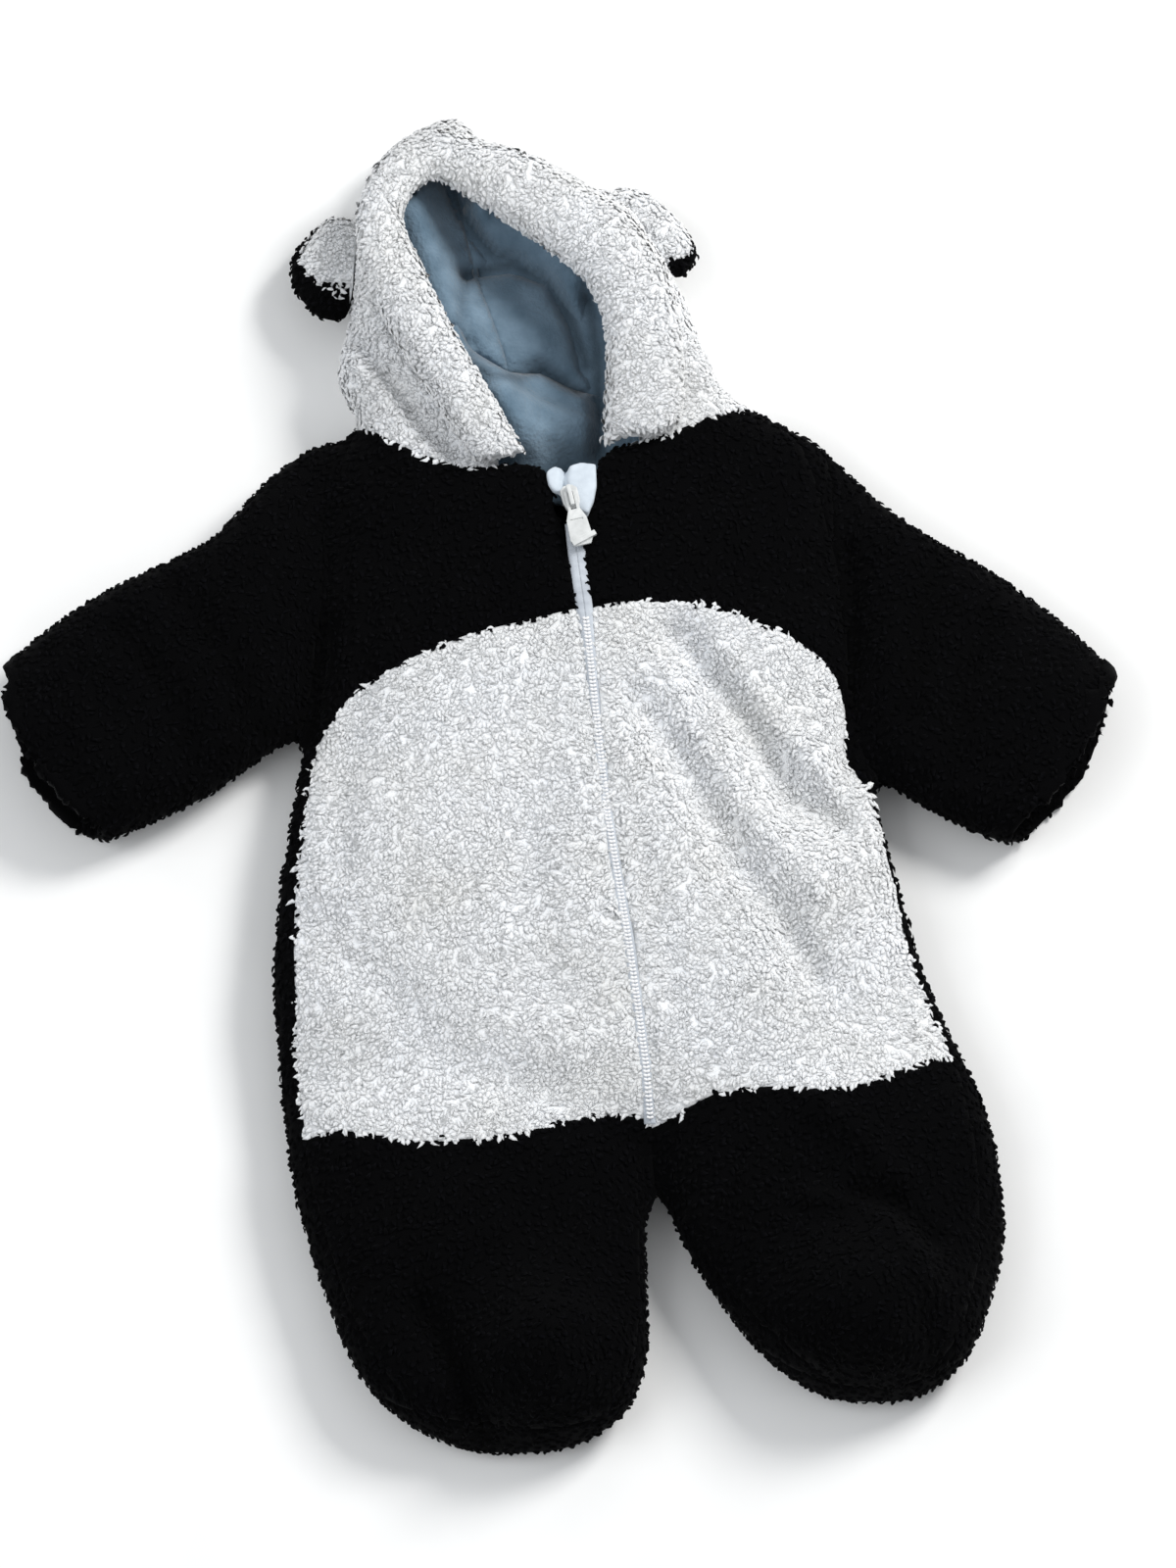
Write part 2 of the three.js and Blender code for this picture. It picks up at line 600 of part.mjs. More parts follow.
function tabForm() {
  const { thick, long, neckWide, endWide, slotWide, slotLong } = tab;
  const top = tabAxis.y;
  const { neckFlare, shoulder, shoulderIn, corner, cornerIn } = tabOutline;
  const rightSide = [[neckWide / 2, top], [neckWide / 2 + neckFlare, top - slotLong],
    [endWide / 2 - shoulderIn, top - slotLong - shoulder], [endWide / 2, top - long + corner],
    [endWide / 2 - cornerIn, top - long]];
  const leftSide = rightSide.map(([x, y]) => [-x, y]).reverse();
  const low = tabAxis.z - thick / 2;
  const plate = prism([...rightSide, ...leftSide], low, low + thick);
  const slot = boxAt(slotWide, slotLong, 3 * thick, 0, top - slotLong / 2, low - thick);
  const pin = new THREE.CylinderGeometry(thick / 2, thick / 2, neckWide, 12);
  pin.rotateZ(Math.PI / 2);
  pin.translate(0, top, tabAxis.z);
  const groove = boxAt(tabGroove.wide, tabGroove.long, thick, 0, top - slotLong - tabGroove.from,
    low + thick - tabGroove.deep);
  const bar = new THREE.BoxGeometry(tabBar.long, tabBar.wide, tabBar.high);
  bar.rotateZ(tabBarTilt);
  bar.translate(tabBar.x, top - long + tabBar.fromEnd, low + thick + tabBar.high / 2 - tabBar.sink);
  return joined([plate.subtract(slot).subtract(groove), solidOf(pin), solidOf(bar)]);
}

function overZip(form) {
  const geometry = geometryOf(form);
  geometry.rotateZ(zipLean);
  geometry.translate(sliderAt.x, sliderAt.y, sliderAt.z);
  return geometry;
}

// Finishes
const finish = (name, color, roughness, metalness = 0) => {
  const material = new THREE.MeshStandardMaterial({ color, roughness, metalness });
  material.name = name;
  return material;
};
const whiteSherpa = finish('white_sherpa', 0xe4e2de, 0.95);
const blackSherpa = finish('black_sherpa', 0x0c0c10, 0.9);
const greyBlueFleece = finish('grey_blue_fleece', 0x7c909f, 0.95);
const whiteTape = finish('white_tape', 0xe9e9ea, 0.85);
const enamelledMetal = finish('enamelled_metal', 0xe6e3db, 0.35);

const romper = new THREE.Group();
function sew(name, solid, material) {
  const geometry = solid.isBufferGeometry ? solid : geometryOf(withoutCrumbs(solid));
  const mesh = new THREE.Mesh(geometry, material);
  mesh.name = name;
  romper.add(mesh);
}

// Each half of a pair lies on one side of a seam.
function sewPair(name, solids, material) {
  sew(`${name}_left`, solids[0], material);
  sew(`${name}_right`, solids[1], material);
}
const split = (solid, line) => [solid.intersect(leftOf(line)), solid.intersect(rightOf(line))];
const sidesOfZip = (solid) => [solid.intersect(leftFront), solid.intersect(rightFront)];

sewPair('yoke', sidesOfZip(frontCloth.intersect(yokeArea)), blackSherpa);
sewPair('tummy', sidesOfZip(frontCloth.intersect(tummyArea)), whiteSherpa);
sewPair('leg_front', sidesOfZip(frontCloth.intersect(legArea)), blackSherpa);
sewPair('back', split(backCloth.subtract(backGap), backLine), blackSherpa);
sewPair('sole', [bodyCloth.intersect(soleLeftArea), bodyCloth.intersect(soleRightArea)], blackSherpa);
sewPair('sleeve', [sleeve(sleeveRowsLeft), sleeve(sleeveRowsRight)], blackSherpa);
sewPair('hood', split(hoodCloth.subtract(seamWall(hoodLine)), hoodLine), whiteSherpa);
sew('hood_band', hoodBand, whiteSherpa);
sewPair('lining', split(liningUpper.subtract(seamWall(hoodLine)), hoodLine), greyBlueFleece);
sew('lining_neck', liningNeck, greyBlueFleece);
const earRows = [earRowsLeft, earRowsRight];
sewPair('ear_front', earRows.map((rows, i) => ear(rows, earPlaces[i], true)), whiteSherpa);
sewPair('ear_back', earRows.map((rows, i) => ear(rows, earPlaces[i], false)), blackSherpa);
sewPair('zip_tape', split(tapes, zipMiddle), whiteTape);
sew('chin_guard', chinGuard, whiteTape);
sew('slider', overZip(sliderForm()), enamelledMetal);
sew('pull_tab', overZip(tabForm()), enamelledMetal);

// The origin is under the middle of the whole garment.
romper.updateMatrixWorld(true);
const reach = new THREE.Box3().setFromObject(romper, true);
romper.position.set(-(reach.min.x + reach.max.x) / 2, -(reach.min.y + reach.max.y) / 2, -reach.min.z);

export default romper;
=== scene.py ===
from math import cos, pi, radians, sin

import bmesh
import bpy
import numpy as np
from mathutils import Matrix, Vector, noise
from mathutils.bvhtree import BVHTree


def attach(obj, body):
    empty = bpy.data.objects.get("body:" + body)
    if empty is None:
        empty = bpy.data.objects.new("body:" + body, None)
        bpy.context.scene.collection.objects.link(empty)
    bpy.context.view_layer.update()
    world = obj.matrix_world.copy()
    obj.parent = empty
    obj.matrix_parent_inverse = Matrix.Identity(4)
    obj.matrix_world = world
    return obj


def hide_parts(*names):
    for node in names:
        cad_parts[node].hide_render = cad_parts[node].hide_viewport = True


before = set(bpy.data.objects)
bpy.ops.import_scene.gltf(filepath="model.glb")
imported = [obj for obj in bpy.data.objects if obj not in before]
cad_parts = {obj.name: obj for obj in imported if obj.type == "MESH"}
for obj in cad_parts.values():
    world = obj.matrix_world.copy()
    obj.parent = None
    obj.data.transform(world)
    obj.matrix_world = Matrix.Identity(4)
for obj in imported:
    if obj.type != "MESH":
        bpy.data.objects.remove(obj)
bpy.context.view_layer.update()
scene = bpy.context.scene
BODY = "romper"
MM = 0.001

# View: the photograph looks down at 70 degrees from far off. One of its pixels is 0.47 mm.
ELEVATION = radians(70)
PIXEL = 0.47
CENTRE_PX = (571.5, 797)
PICTURE = (1200, 1600)
CAMERA_AWAY = 9.0
SENSOR = 36


def seen(px, py, high=0.0):
    """The place, in metres, that shows at a pixel of the photograph, at a height in millimetres."""
    x = (px - CENTRE_PX[0]) * PIXEL
    y = ((CENTRE_PX[1] - py) * PIXEL - high * cos(ELEVATION)) / sin(ELEVATION)
    return Vector((x, y, high)) * MM


def pixels_of(points):
    """Where points show in the photograph, as an array of pixels."""
    x = points[:, 0] / MM / PIXEL + CENTRE_PX[0]
    up = points[:, 1] / MM * sin(ELEVATION) + points[:, 2] / MM * cos(ELEVATION)
    return np.stack([x, CENTRE_PX[1] - up / PIXEL], axis=1)


def make_camera():
    data = bpy.data.cameras.new("camera")
    data.sensor_width = SENSOR
    data.lens = SENSOR * CAMERA_AWAY / (PIXEL * MM) / PICTURE[1]
    camera = bpy.data.objects.new("camera", data)
    scene.collection.objects.link(camera)
    back = Vector((0, -cos(ELEVATION), sin(ELEVATION)))
    camera.location = seen(PICTURE[0] / 2, PICTURE[1] / 2) + back * CAMERA_AWAY
    camera.rotation_euler = (-back).to_track_quat("-Z", "Y").to_euler()
    scene.camera = camera


def make_light(name, place, size, power, colour):
    data = bpy.data.lights.new(name, "AREA")
    data.size = size
    data.energy = power
    data.color = colour
    light = bpy.data.objects.new(name, data)
    scene.collection.objects.link(light)
    light.location = place
    light.rotation_euler = (-Vector(place)).to_track_quat("-Z", "Y").to_euler()


make_camera()
scene.view_settings.view_transform = "Standard"


# Materials
def linear(hex_colour):
    """A linear colour from an sRGB hex value."""
    channels = [int(hex_colour[i:i + 2], 16) / 255 for i in (1, 3, 5)]
    return tuple(c / 12.92 if c <= 0.04045 else ((c + 0.055) / 1.055) ** 2.4 for c in channels) + (1,)


def add(tree, kind, links=None, **settings):
    """A shader node with its settings; links maps an input to the output that feeds it."""
    node = tree.nodes.new(kind)
    for name, value in settings.items():
        if hasattr(node, name):
            setattr(node, name, value)
        else:
            node.inputs[name.replace("_", " ")].default_value = value
    for name, source in (links or {}).items():
        tree.links.new(source, node.inputs[name])
    return node


def new_material(name):
    material = bpy.data.materials.new(name)
    material.use_nodes = True
    material.node_tree.nodes.clear()
    return material, material.node_tree


def ramp(tree, source, stops):
    """Colours along a value: stops are pairs of a position and a hex colour."""
    node = add(tree, "ShaderNodeValToRGB", {"Fac": source})
    elements = node.color_ramp.elements
    while len(elements) < len(stops):
        elements.new(0.5)
    for element, (position, colour) in zip(elements, stops):
        element.position = position
        element.color = linear(colour)
    return node.outputs["Color"]


CLOTH_SPECULAR = 0.2
SHEEN_ROUGHNESS = 0.5


def cloth_shader(tree, colour, bump, roughness, sheen, specular=CLOTH_SPECULAR):
    """A matt shader with the soft sheen of the ends of fibres."""
    shader = add(tree, "ShaderNodeBsdfPrincipled", {"Base Color": colour, "Normal": bump},
                 Roughness=roughness)
    shader.inputs["Sheen Weight"].default_value = sheen
    shader.inputs["Sheen Roughness"].default_value = SHEEN_ROUGHNESS
    shader.inputs["Specular IOR Level"].default_value = specular
    add(tree, "ShaderNodeOutputMaterial", {"Surface": shader.outputs["BSDF"]})
    return shader


def noise_of(tree, millimetres, detail=3.0):
    """Noise with features about that many millimetres across, on Object coordinates."""
    place = add(tree, "ShaderNodeTexCoord")
    return add(tree, "ShaderNodeTexNoise", {"Vector": place.outputs["Object"]},
               Scale=1 / (millimetres * MM), Detail=detail).outputs["Fac"]


def bump_of(tree, height, millimetres, strength):
    """A bump so many millimetres high where the height is 1."""
    return add(tree, "ShaderNodeBump", {"Height": height}, Strength=strength,
               Distance=millimetres * MM).outputs["Normal"]


# What glows through the white pile: its tint, and how far it reaches in mm
GLOW_TINT = (1.0, 0.97, 0.94)
GLOW_REACH = 2.5


def sherpa(name, root, body, tip, stain, sheen, specular, unevenness, glow):
    """Polyester sherpa fleece, knitted and brushed into curls, each lock a little different. Painted
    shade makes each lock darker towards its root, so darker in the gaps between locks, and darker in the
    creases.
    Light that strays from lock to lock glows through the white one, so its gaps stay soft."""
    material, tree = new_material(name)
    along = add(tree, "ShaderNodeAttribute", attribute_name="tip").outputs["Fac"]
    tone = add(tree, "ShaderNodeAttribute", attribute_name="tone").outputs["Fac"]
    # Painted shade: each lock is darker towards its root, down in the gaps between locks
    shaded_to_root = ramp(tree, along, [(0.0, root), (0.45, body), (1.0, tip)])
    worn = ramp(tree, noise_of(tree, 45), [(0.35, "#ffffff"), (0.75, stain)])
    patchy = add(tree, "ShaderNodeMix", data_type="RGBA", blend_type="MULTIPLY")
    tree.links.new(shaded_to_root, patchy.inputs["A"])
    tree.links.new(worn, patchy.inputs["B"])
    patchy.inputs[0].default_value = 1.0
    # A lock's tone strays at random, and painted shade lowers it further in the creases
    value = add(tree, "ShaderNodeMapRange", {"Value": tone}, clamp=False)
    value.inputs["To Min"].default_value = 1 - unevenness
    value.inputs["To Max"].default_value = 1 + unevenness
    varied = add(tree, "ShaderNodeHueSaturation", {"Color": patchy.outputs["Result"],
                                                   "Value": value.outputs["Result"]})
    fibres = bump_of(tree, noise_of(tree, 0.9, detail=2.0), 0.5, strength=0.6)
    shader = cloth_shader(tree, varied.outputs["Color"], fibres, roughness=0.95, sheen=sheen,
                          specular=specular)
    shader.inputs["Subsurface Weight"].default_value = glow
    shader.inputs["Subsurface Radius"].default_value = GLOW_TINT
    shader.inputs["Subsurface Scale"].default_value = GLOW_REACH * MM
    return material


white_sherpa = sherpa("white_sherpa", root="#eceef1", body="#f3f5f8", tip="#f8fafc", stain="#f4f2ed",
                      sheen=0.1, specular=0.15, unevenness=0.03, glow=0.7)
black_sherpa = sherpa("black_sherpa", root="#010101", body="#020203", tip="#09090b", stain="#c8c8dc",
                      sheen=0.01, specular=0.06, unevenness=0.5, glow=0.0)


def brushed_fleece():
    """Brushed grey-blue polyester fleece: a soft matt nap with a cloudy tone and a fine grain, and
    painted shade that darkens it in its creases."""
    material, tree = new_material("grey_blue_fleece")
    tone = add(tree, "ShaderNodeAttribute", attribute_name="tone").outputs["Fac"]
    # Painted shade: the tone, which falls below zero in a crease, darkens the cloth there
    painted_crease_shade = add(tree, "ShaderNodeMapRange", {"Value": tone})
    painted_crease_shade.inputs["From Min"].default_value = -1
    painted_crease_shade.inputs["To Min"].default_value = 0.34
    nap_tone = ramp(tree, noise_of(tree, 14, detail=8.0), [(0.3, "#6e899d"), (0.7, "#91acc1")])
    cloudy = add(tree, "ShaderNodeHueSaturation",
                 {"Color": nap_tone, "Value": painted_crease_shade.outputs["Result"]}).outputs["Color"]
    nap = bump_of(tree, noise_of(tree, 2.2, detail=5.0), 1.0, strength=0.9)
    cloth_shader(tree, cloudy, nap, roughness=0.95, sheen=0.4)
    return material


# The gap between the tape's ribs in mm, and the radians in a unit of Blender's wave texture
RIB_GAP = 5.552
WAVE_RADIANS = 20


def knitted_tape():
    """White knitted polyester zip tape, matt, with cross ribs. Real ribs are 0.9 mm apart, which is too
    fine to show, so they are drawn about six times as coarse."""
    material, tree = new_material("white_tape")
    place = add(tree, "ShaderNodeTexCoord")
    ribs = add(tree, "ShaderNodeTexWave", {"Vector": place.outputs["Object"]}, bands_direction="Y",
               Scale=2 * pi / WAVE_RADIANS / (RIB_GAP * MM)).outputs["Fac"]
    tint = ramp(tree, noise_of(tree, 6), [(0.3, "#adb3bb"), (0.7, "#c2c8cf")])
    cloth_shader(tree, tint, bump_of(tree, ribs, 0.4, strength=0.9), roughness=0.85, sheen=0.2)
    return material


def smooth_fleece():
    """White polyester microfleece with a short, close nap: soft and matt, with hardly a grain."""
    material, tree = new_material("white_microfleece")
    tint = ramp(tree, noise_of(tree, 5, detail=5.0), [(0.3, "#c2cbd4"), (0.7, "#d0d9e1")])
    nap = bump_of(tree, noise_of(tree, 0.8), 0.15, strength=0.5)
    cloth_shader(tree, tint, nap, roughness=0.9, sheen=0.2)
    return material


def enamel():
    """Zinc alloy zip parts in baked off-white enamel: glossy, faintly uneven, greyer with handling."""
    material, tree = new_material("enamelled_metal")
    tint = ramp(tree, noise_of(tree, 4), [(0.35, "#c8cac9"), (0.7, "#dadcdb")])
    uneven = bump_of(tree, noise_of(tree, 2.5), 0.05, strength=0.4)
    shader = add(tree, "ShaderNodeBsdfPrincipled", {"Base Color": tint, "Normal": uneven}, Roughness=0.32)
    shader.inputs["Coat Weight"].default_value = 0.4
    shader.inputs["Coat Roughness"].default_value = 0.12
    add(tree, "ShaderNodeOutputMaterial", {"Surface": shader.outputs["BSDF"]})
    return material


def sewing_thread():
    """White polyester sewing thread, slightly glossy, with a fine twist."""
    material, tree = new_material("white_thread")
    tint = ramp(tree, noise_of(tree, 1.5), [(0.3, "#e8e8ea"), (0.7, "#fbfbfb")])
    twist = bump_of(tree, noise_of(tree, 0.6), 0.1, strength=0.4)
    cloth_shader(tree, tint, twist, roughness=0.6, sheen=0.1)
    return material


def floor_paper():
    """Matt white paper sweep, hardly uneven, so that it stays plain."""
    material, tree = new_material("floor_paper")
    tint = ramp(tree, noise_of(tree, 60), [(0.3, "#f1f1f0"), (0.7, "#f5f5f4")])
    grain = bump_of(tree, noise_of(tree, 1.2), 0.02, strength=0.2)
    cloth_shader(tree, tint, grain, roughness=0.9, sheen=0.0)
    return material


grey_blue_fleece = brushed_fleece()
white_tape = knitted_tape()
enamelled_metal = enamel()
white_thread = sewing_thread()
white_microfleece = smooth_fleece()


# Stage, with its places and sizes in metres and its powers in watts
FLOOR_SIZE = 6
FLOOR_DROP = 0.0004
KEY_LIGHT = dict(place=(1.6, 1.2, 1.9), size=0.9, power=58, colour=(1.0, 0.995, 0.985))
FILL_LIGHT = dict(place=(-1.9, -0.6, 2.1), size=2.2, power=28, colour=(0.95, 0.975, 1.0))
ROOM_COLOUR = "#eef0f3"
ROOM_STRENGTH = 0.62


def mesh_of(bm, name):
    """A mesh made of a bmesh, which is then freed."""
    mesh = bpy.data.meshes.new(name)
    bm.to_mesh(mesh)
    bm.free()
    return mesh


def make_floor():
    bm = bmesh.new()
    bmesh.ops.create_grid(bm, x_segments=1, y_segments=1, size=FLOOR_SIZE)
    mesh = mesh_of(bm, "floor")
    mesh.transform(Matrix.Translation((0, 0, -FLOOR_DROP)))
    mesh.materials.append(floor_paper())
    floor = bpy.data.objects.new("floor", mesh)
    scene.collection.objects.link(floor)


def make_room():
    """Pale light from all round."""
    world = bpy.data.worlds.new("soft_room")
    world.use_nodes = True
    background = world.node_tree.nodes["Background"]
    background.inputs["Color"].default_value = linear(ROOM_COLOUR)
    background.inputs["Strength"].default_value = ROOM_STRENGTH
    scene.world = world


make_floor()
make_light("key", **KEY_LIGHT)
make_light("fill", **FILL_LIGHT)
make_room()

# Meshes
WELD = 1e-5
DOWN = Vector((0, 0, -1))


def finish_piece(name, mesh, material):
    """A finished piece's object, riding with the garment."""
    piece = bpy.data.objects.new(name, mesh)
    scene.collection.objects.link(piece)
    mesh.materials.clear()
    mesh.materials.append(material)
    mesh.polygons.foreach_set("use_smooth", np.ones(len(mesh.polygons), bool))
    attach(piece, BODY)
    return piece


def cad_copy(nodes, swell=0.0):
    """Merged copies of CAD nodes in one bmesh, swollen by a distance so that seams overlap."""
    bm = bmesh.new()
    for node in nodes:
        bm.from_mesh(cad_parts[node].data)
    bmesh.ops.remove_doubles(bm, verts=bm.verts, dist=WELD)
    bm.normal_update()
    for vert in bm.verts:
        vert.co += vert.normal * swell
    return bm


def remeshed(bm, voxel):
    """The bmesh's form as an even mesh in a new bmesh."""
    working = bpy.data.objects.new("working", mesh_of(bm, "working"))
    scene.collection.objects.link(working)
    modifier = working.modifiers.new("even", "REMESH")
    modifier.mode = "VOXEL"
    modifier.voxel_size = voxel
    graph = bpy.context.evaluated_depsgraph_get()
    even = bpy.data.meshes.new_from_object(working.evaluated_get(graph))
    bpy.data.objects.remove(working)
    result = bmesh.new()
    result.from_mesh(even)
    result.normal_update()
    return result


def smoothed(bm, steps):
    """Smooths a bmesh, except along its open edges."""
    inner = [v for v in bm.verts if not v.is_boundary]
    for _ in range(steps):
        bmesh.ops.smooth_vert(bm, verts=inner, factor=0.5,
                              use_axis_x=True, use_axis_y=True, use_axis_z=True)
    bm.normal_update()


def sunk(bm, depth):
    """Moves the surface in, to make room for the pile, and keeps it off the floor."""
    for vert in bm.verts:
        vert.co -= vert.normal * depth * MM
        vert.co.z = max(vert.co.z, FLOOR_GAP * MM)
    bm.normal_update()


# The CAD nodes that are cloth, those that make up the outer skin, and the lining's
SOFT = [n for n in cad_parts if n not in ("slider", "pull_tab")]
SKIN = [n for n in SOFT if n.startswith(("yoke", "tummy", "leg_front", "back", "sole", "sleeve",
                                         "hood_l", "hood_r", "zip_tape"))]
LINING = ["lining_left", "lining_right", "lining_neck"]


def tree_of(nodes):
    """A search tree over CAD nodes and, for each of its faces, the node's name."""
    verts, faces, owners = [], [], []
    for node in nodes:
        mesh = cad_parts[node].data
        start = len(verts)
        verts += [v.co.copy() for v in mesh.vertices]
        for polygon in mesh.polygons:
            faces.append([start + i for i in polygon.vertices])
            owners.append(node)
    return BVHTree.FromPolygons(verts, faces), owners


def is_white(node):
    return node.startswith(("tummy", "hood", "ear_front"))


all_cloth, _ = tree_of(SOFT)
skin_tree, skin_owners = tree_of(SKIN)
LOOKS = [Vector(way).normalized() for way in (
    (0, 0, 1), (0.4, 0, 1), (-0.4, 0, 1), (0, 0.4, 1), (0, -0.4, 1), (0, 0, -1))]


def sees_out(place):
    """Whether no cloth hides a place from above, aslant or straight, or from below."""
    return any(all_cloth.ray_cast(place, way)[0] is None for way in LOOKS)


def in_the_open(bm, off=1.0, further=5.0):
    """The faces that have open air above or below them, a little off the surface or further off:
    both distances in mm."""
    shown = []
    for face in bm.faces:
        near = face.calc_center_median() + face.normal * off * MM
        clear = all_cloth.ray_cast(near, face.normal, further * MM)[0] is None
        if sees_out(near) or (clear and sees_out(near + face.normal * further * MM)):
            shown.append(face)
    return shown


def grown(faces, rings):
    """These faces and those around them, a few rings out."""
    faces = set(faces)
    for _ in range(rings):
        faces |= {other for face in faces for vert in face.verts for other in vert.link_faces}
    return faces


# Skin: the whole garment's outside as one smooth surface, then parted into its pieces.
# All sizes are in mm. The nodes swell a little, so that they overlap at their seams, and the tapes
# swell more, so that they close the slot.
PILE_DEPTH = 1.4
CLOTH_THICK = 3.0
FLOOR_GAP = 0.3
NODE_SWELL = 0.8
TAPE_SWELL = 2.0
SKIN_VOXEL = 3.5
SKIN_STEPS = 12
FRONT_LOWEST = 15
# What shows loses this many rings of faces at its edges, which drops specks, and then gains so many
RINGS_OFF = 2
RINGS_ON = 4
# A hole with up to this many sides is closed; larger ones are the openings
HOLE_SIDES = 56
# Cloth that faces up less than this keeps its full wall; no wall is thinner than this share of it
UPRIGHT = 0.05
THINNEST = 0.02

# Lining: how it is made, its share of the lumps, where it ends and how far it stays under what
# covers it
LINING_THICK = 1.8
LINING_SWELL = 0.5
LINING_VOXEL = 2.2
LINING_STEPS = 8
LINING_LUMPS = 0.6
LINING_LOWEST = 5.5
LINING_CLEARANCE = 4.5
HIDDEN_LINING_TOP = 18
BAND_COVER = 12
COVER_LOWEST = 22

# Creases: pixels of the photograph along each, its width in pixels and its depth in mm.
# A depth below zero is a ridge.
FOLDS = [
    ([(690, 645), (712, 672), (745, 708), (772, 746), (806, 812), (854, 838)], 18, 8.5),
    ([(652, 713), (697, 771), (717, 812), (751, 874), (793, 928), (830, 990)], 17, 6.5),
    ([(640, 800), (664, 900), (686, 1010)], 14, 2.2),
    ([(560, 660), (548, 760), (545, 860), (560, 1000)], 26, 2.4),
    ([(372, 690), (356, 780), (352, 880)], 20, 2.4),
    ([(330, 940), (400, 1010), (470, 1075), (560, 1110)], 26, 2.0),
    ([(434, 1325), (470, 1390), (505, 1452)], 15, 5.0),
    ([(868, 1211), (908, 1222), (943, 1254)], 12, 4.2),
    ([(935, 1329), (946, 1360), (948, 1388)], 12, 3.0),
    ([(817, 1386), (862, 1410), (908, 1412)], 9, 2.2),
    ([(330, 640), (322, 700), (313, 748)], 13, 4.0),
    ([(866, 560), (870, 680), (864, 790)], 12, 3.6),
    ([(352, 320), (392, 372), (432, 428), (470, 462)], 11, 6.0),
    ([(398, 377), (430, 415), (471, 444)], 9, 3.0),
    ([(617, 760), (627, 824), (650, 964), (666, 1080)], 6, 2.5),
    ([(640, 300), (668, 360), (700, 408)], 16, 2.4),
    ([(180, 600), (232, 668), (262, 740)], 20, 3.4),
    ([(120, 640), (170, 700), (196, 770)], 18, 2.6),
    ([(960, 560), (940, 640), (928, 720)], 20, 3.4),
    ([(1010, 640), (985, 700), (975, 780)], 18, 2.6),
    ([(828, 1118), (872, 1150), (908, 1190)], 16, -3.0),
    ([(594, 1328), (622, 1345), (643, 1371)], 16, -2.8),
    ([(825, 1217), (881, 1220), (921, 1252), (943, 1297)], 13, -3.2),
    ([(735, 672), (790, 740), (850, 790)], 17, -3.4),
    ([(706, 742), (760, 820), (830, 900)], 16, -3.0),
    ([(318, 370), (345, 410), (400, 455)], 14, -2.0),
]
# The same for the lining, inside the face opening
LINING_FOLDS = [
    ([(414, 205), (428, 255), (450, 322), (484, 395), (530, 466)], 34, -24.0),
    ([(494, 214), (552, 246), (590, 285)], 22, -12.0),
    ([(515, 320), (545, 345)], 48, -9.0),
    ([(520, 425), (590, 440)], 36, -15.0),
    ([(600, 300), (608, 350), (611, 400), (612, 470)], 9, 9.0),
    ([(484, 215), (494, 240), (512, 258)], 9, -6.0),
    ([(454, 172), (471, 216), (502, 254), (527, 264)], 7, 11.0),
    ([(471, 211), (483, 240), (507, 264)], 5, 5.0),
    ([(474, 277), (498, 271), (522, 267), (560, 284), (585, 327), (599, 372)], 8, 9.0),
    ([(474, 280), (468, 320), (478, 360)], 7, 4.0),
    ([(481, 368), (502, 381), (531, 384), (553, 375), (590, 398)], 7, 7.0),
    ([(486, 392), (520, 402), (545, 394), (592, 416)], 10, -4.5),
    ([(520, 420), (560, 432), (600, 440)], 9, -2.0),
    ([(530, 450), (560, 456), (596, 462)], 8, -1.6),
]
# The face opening, down the middle of its band, in pixels of the photograph
FACE_OPENING = [(455, 150), (400, 215), (415, 290), (450, 370), (500, 462), (540, 482), (618, 484),
                (622, 455), (640, 380), (632, 300), (600, 240), (505, 182)]
# Lumps in the lie of the cloth: their size across and their rise, both in mm
LUMPS = [(34, 1.3), (10, 0.5)]
# Where the outline bulges or is drawn in: a pixel of the photograph, how far the pull reaches and
# how far it goes, in pixels
PULLS = [
    ((512, 1472), 90, (0, 7)), ((640, 1424), 60, (5, 4)), ((384, 1408), 70, (-5, 4)),
    ((896, 1424), 80, (0, 6)), ((1008, 1248), 110, (7, 0)), ((960, 1040), 60, (6, -3)),
    ((768, 1360), 70, (-5, 5)), ((704, 1264), 60, (-3, 2)), ((288, 960), 120, (-4, 0)),
    ((176, 832), 90, (2, 6)), ((960, 832), 80, (-2, 5)), ((8, 720), 40, (-4, 0)),
    ((1120, 784), 60, (4, 2)), ((347, 378), 40, (-9, 0)), ((362, 438), 22, (9, 2)),
    ((430, 120), 26, (9, 4)), ((495, 128), 30, (-7, 8)), ((335, 225), 26, (0, -8)),
    ((330, 320), 26, (0, 6)), ((655, 200), 32, (3, -8)), ((556, 498), 16, (6, 0)),
    ((836, 460), 26, (4, -7)), ((230, 520), 60, (3, 4)), ((634, 469), 32, (0, -14)),
    ((530, 481), 28, (0, -10)),
]
# The zip from top to bottom, in mm: y, x and the width of tape that shows
ZIP_LINE = [(116, 6.6, 5.0), (95, 8.6, 5.2), (74, 11.4, 5.6), (60, 13, 3.4), (20, 17, 1.5),
            (-28, 22, 1.3), (-36, 23, 2.2), (-100, 33, 2.4), (-160, 41, 2.4), (-187, 43.2, 2.4)]
ZIP_TOP, ZIP_TOP_X = ZIP_LINE[0][:2]
ZIP_END = ZIP_LINE[-1][0]
# Painted shade darkens a crease over this share of its width, and in full from this depth in mm
CREASE_SHARE = 0.7
FULL_CREASE = 8


def distance_to_line(points, line):
    """Each point's distance from a run of straight pieces."""
    best = np.full(len(points), 1e9)
    for a, b in zip(line, line[1:]):
        a, b = np.array(a, float), np.array(b, float)
        along = b - a
        share = np.clip(((points - a) @ along) / (along @ along), 0, 1)
        best = np.minimum(best, np.linalg.norm(points - a - share[:, None] * along, axis=1))
    return best


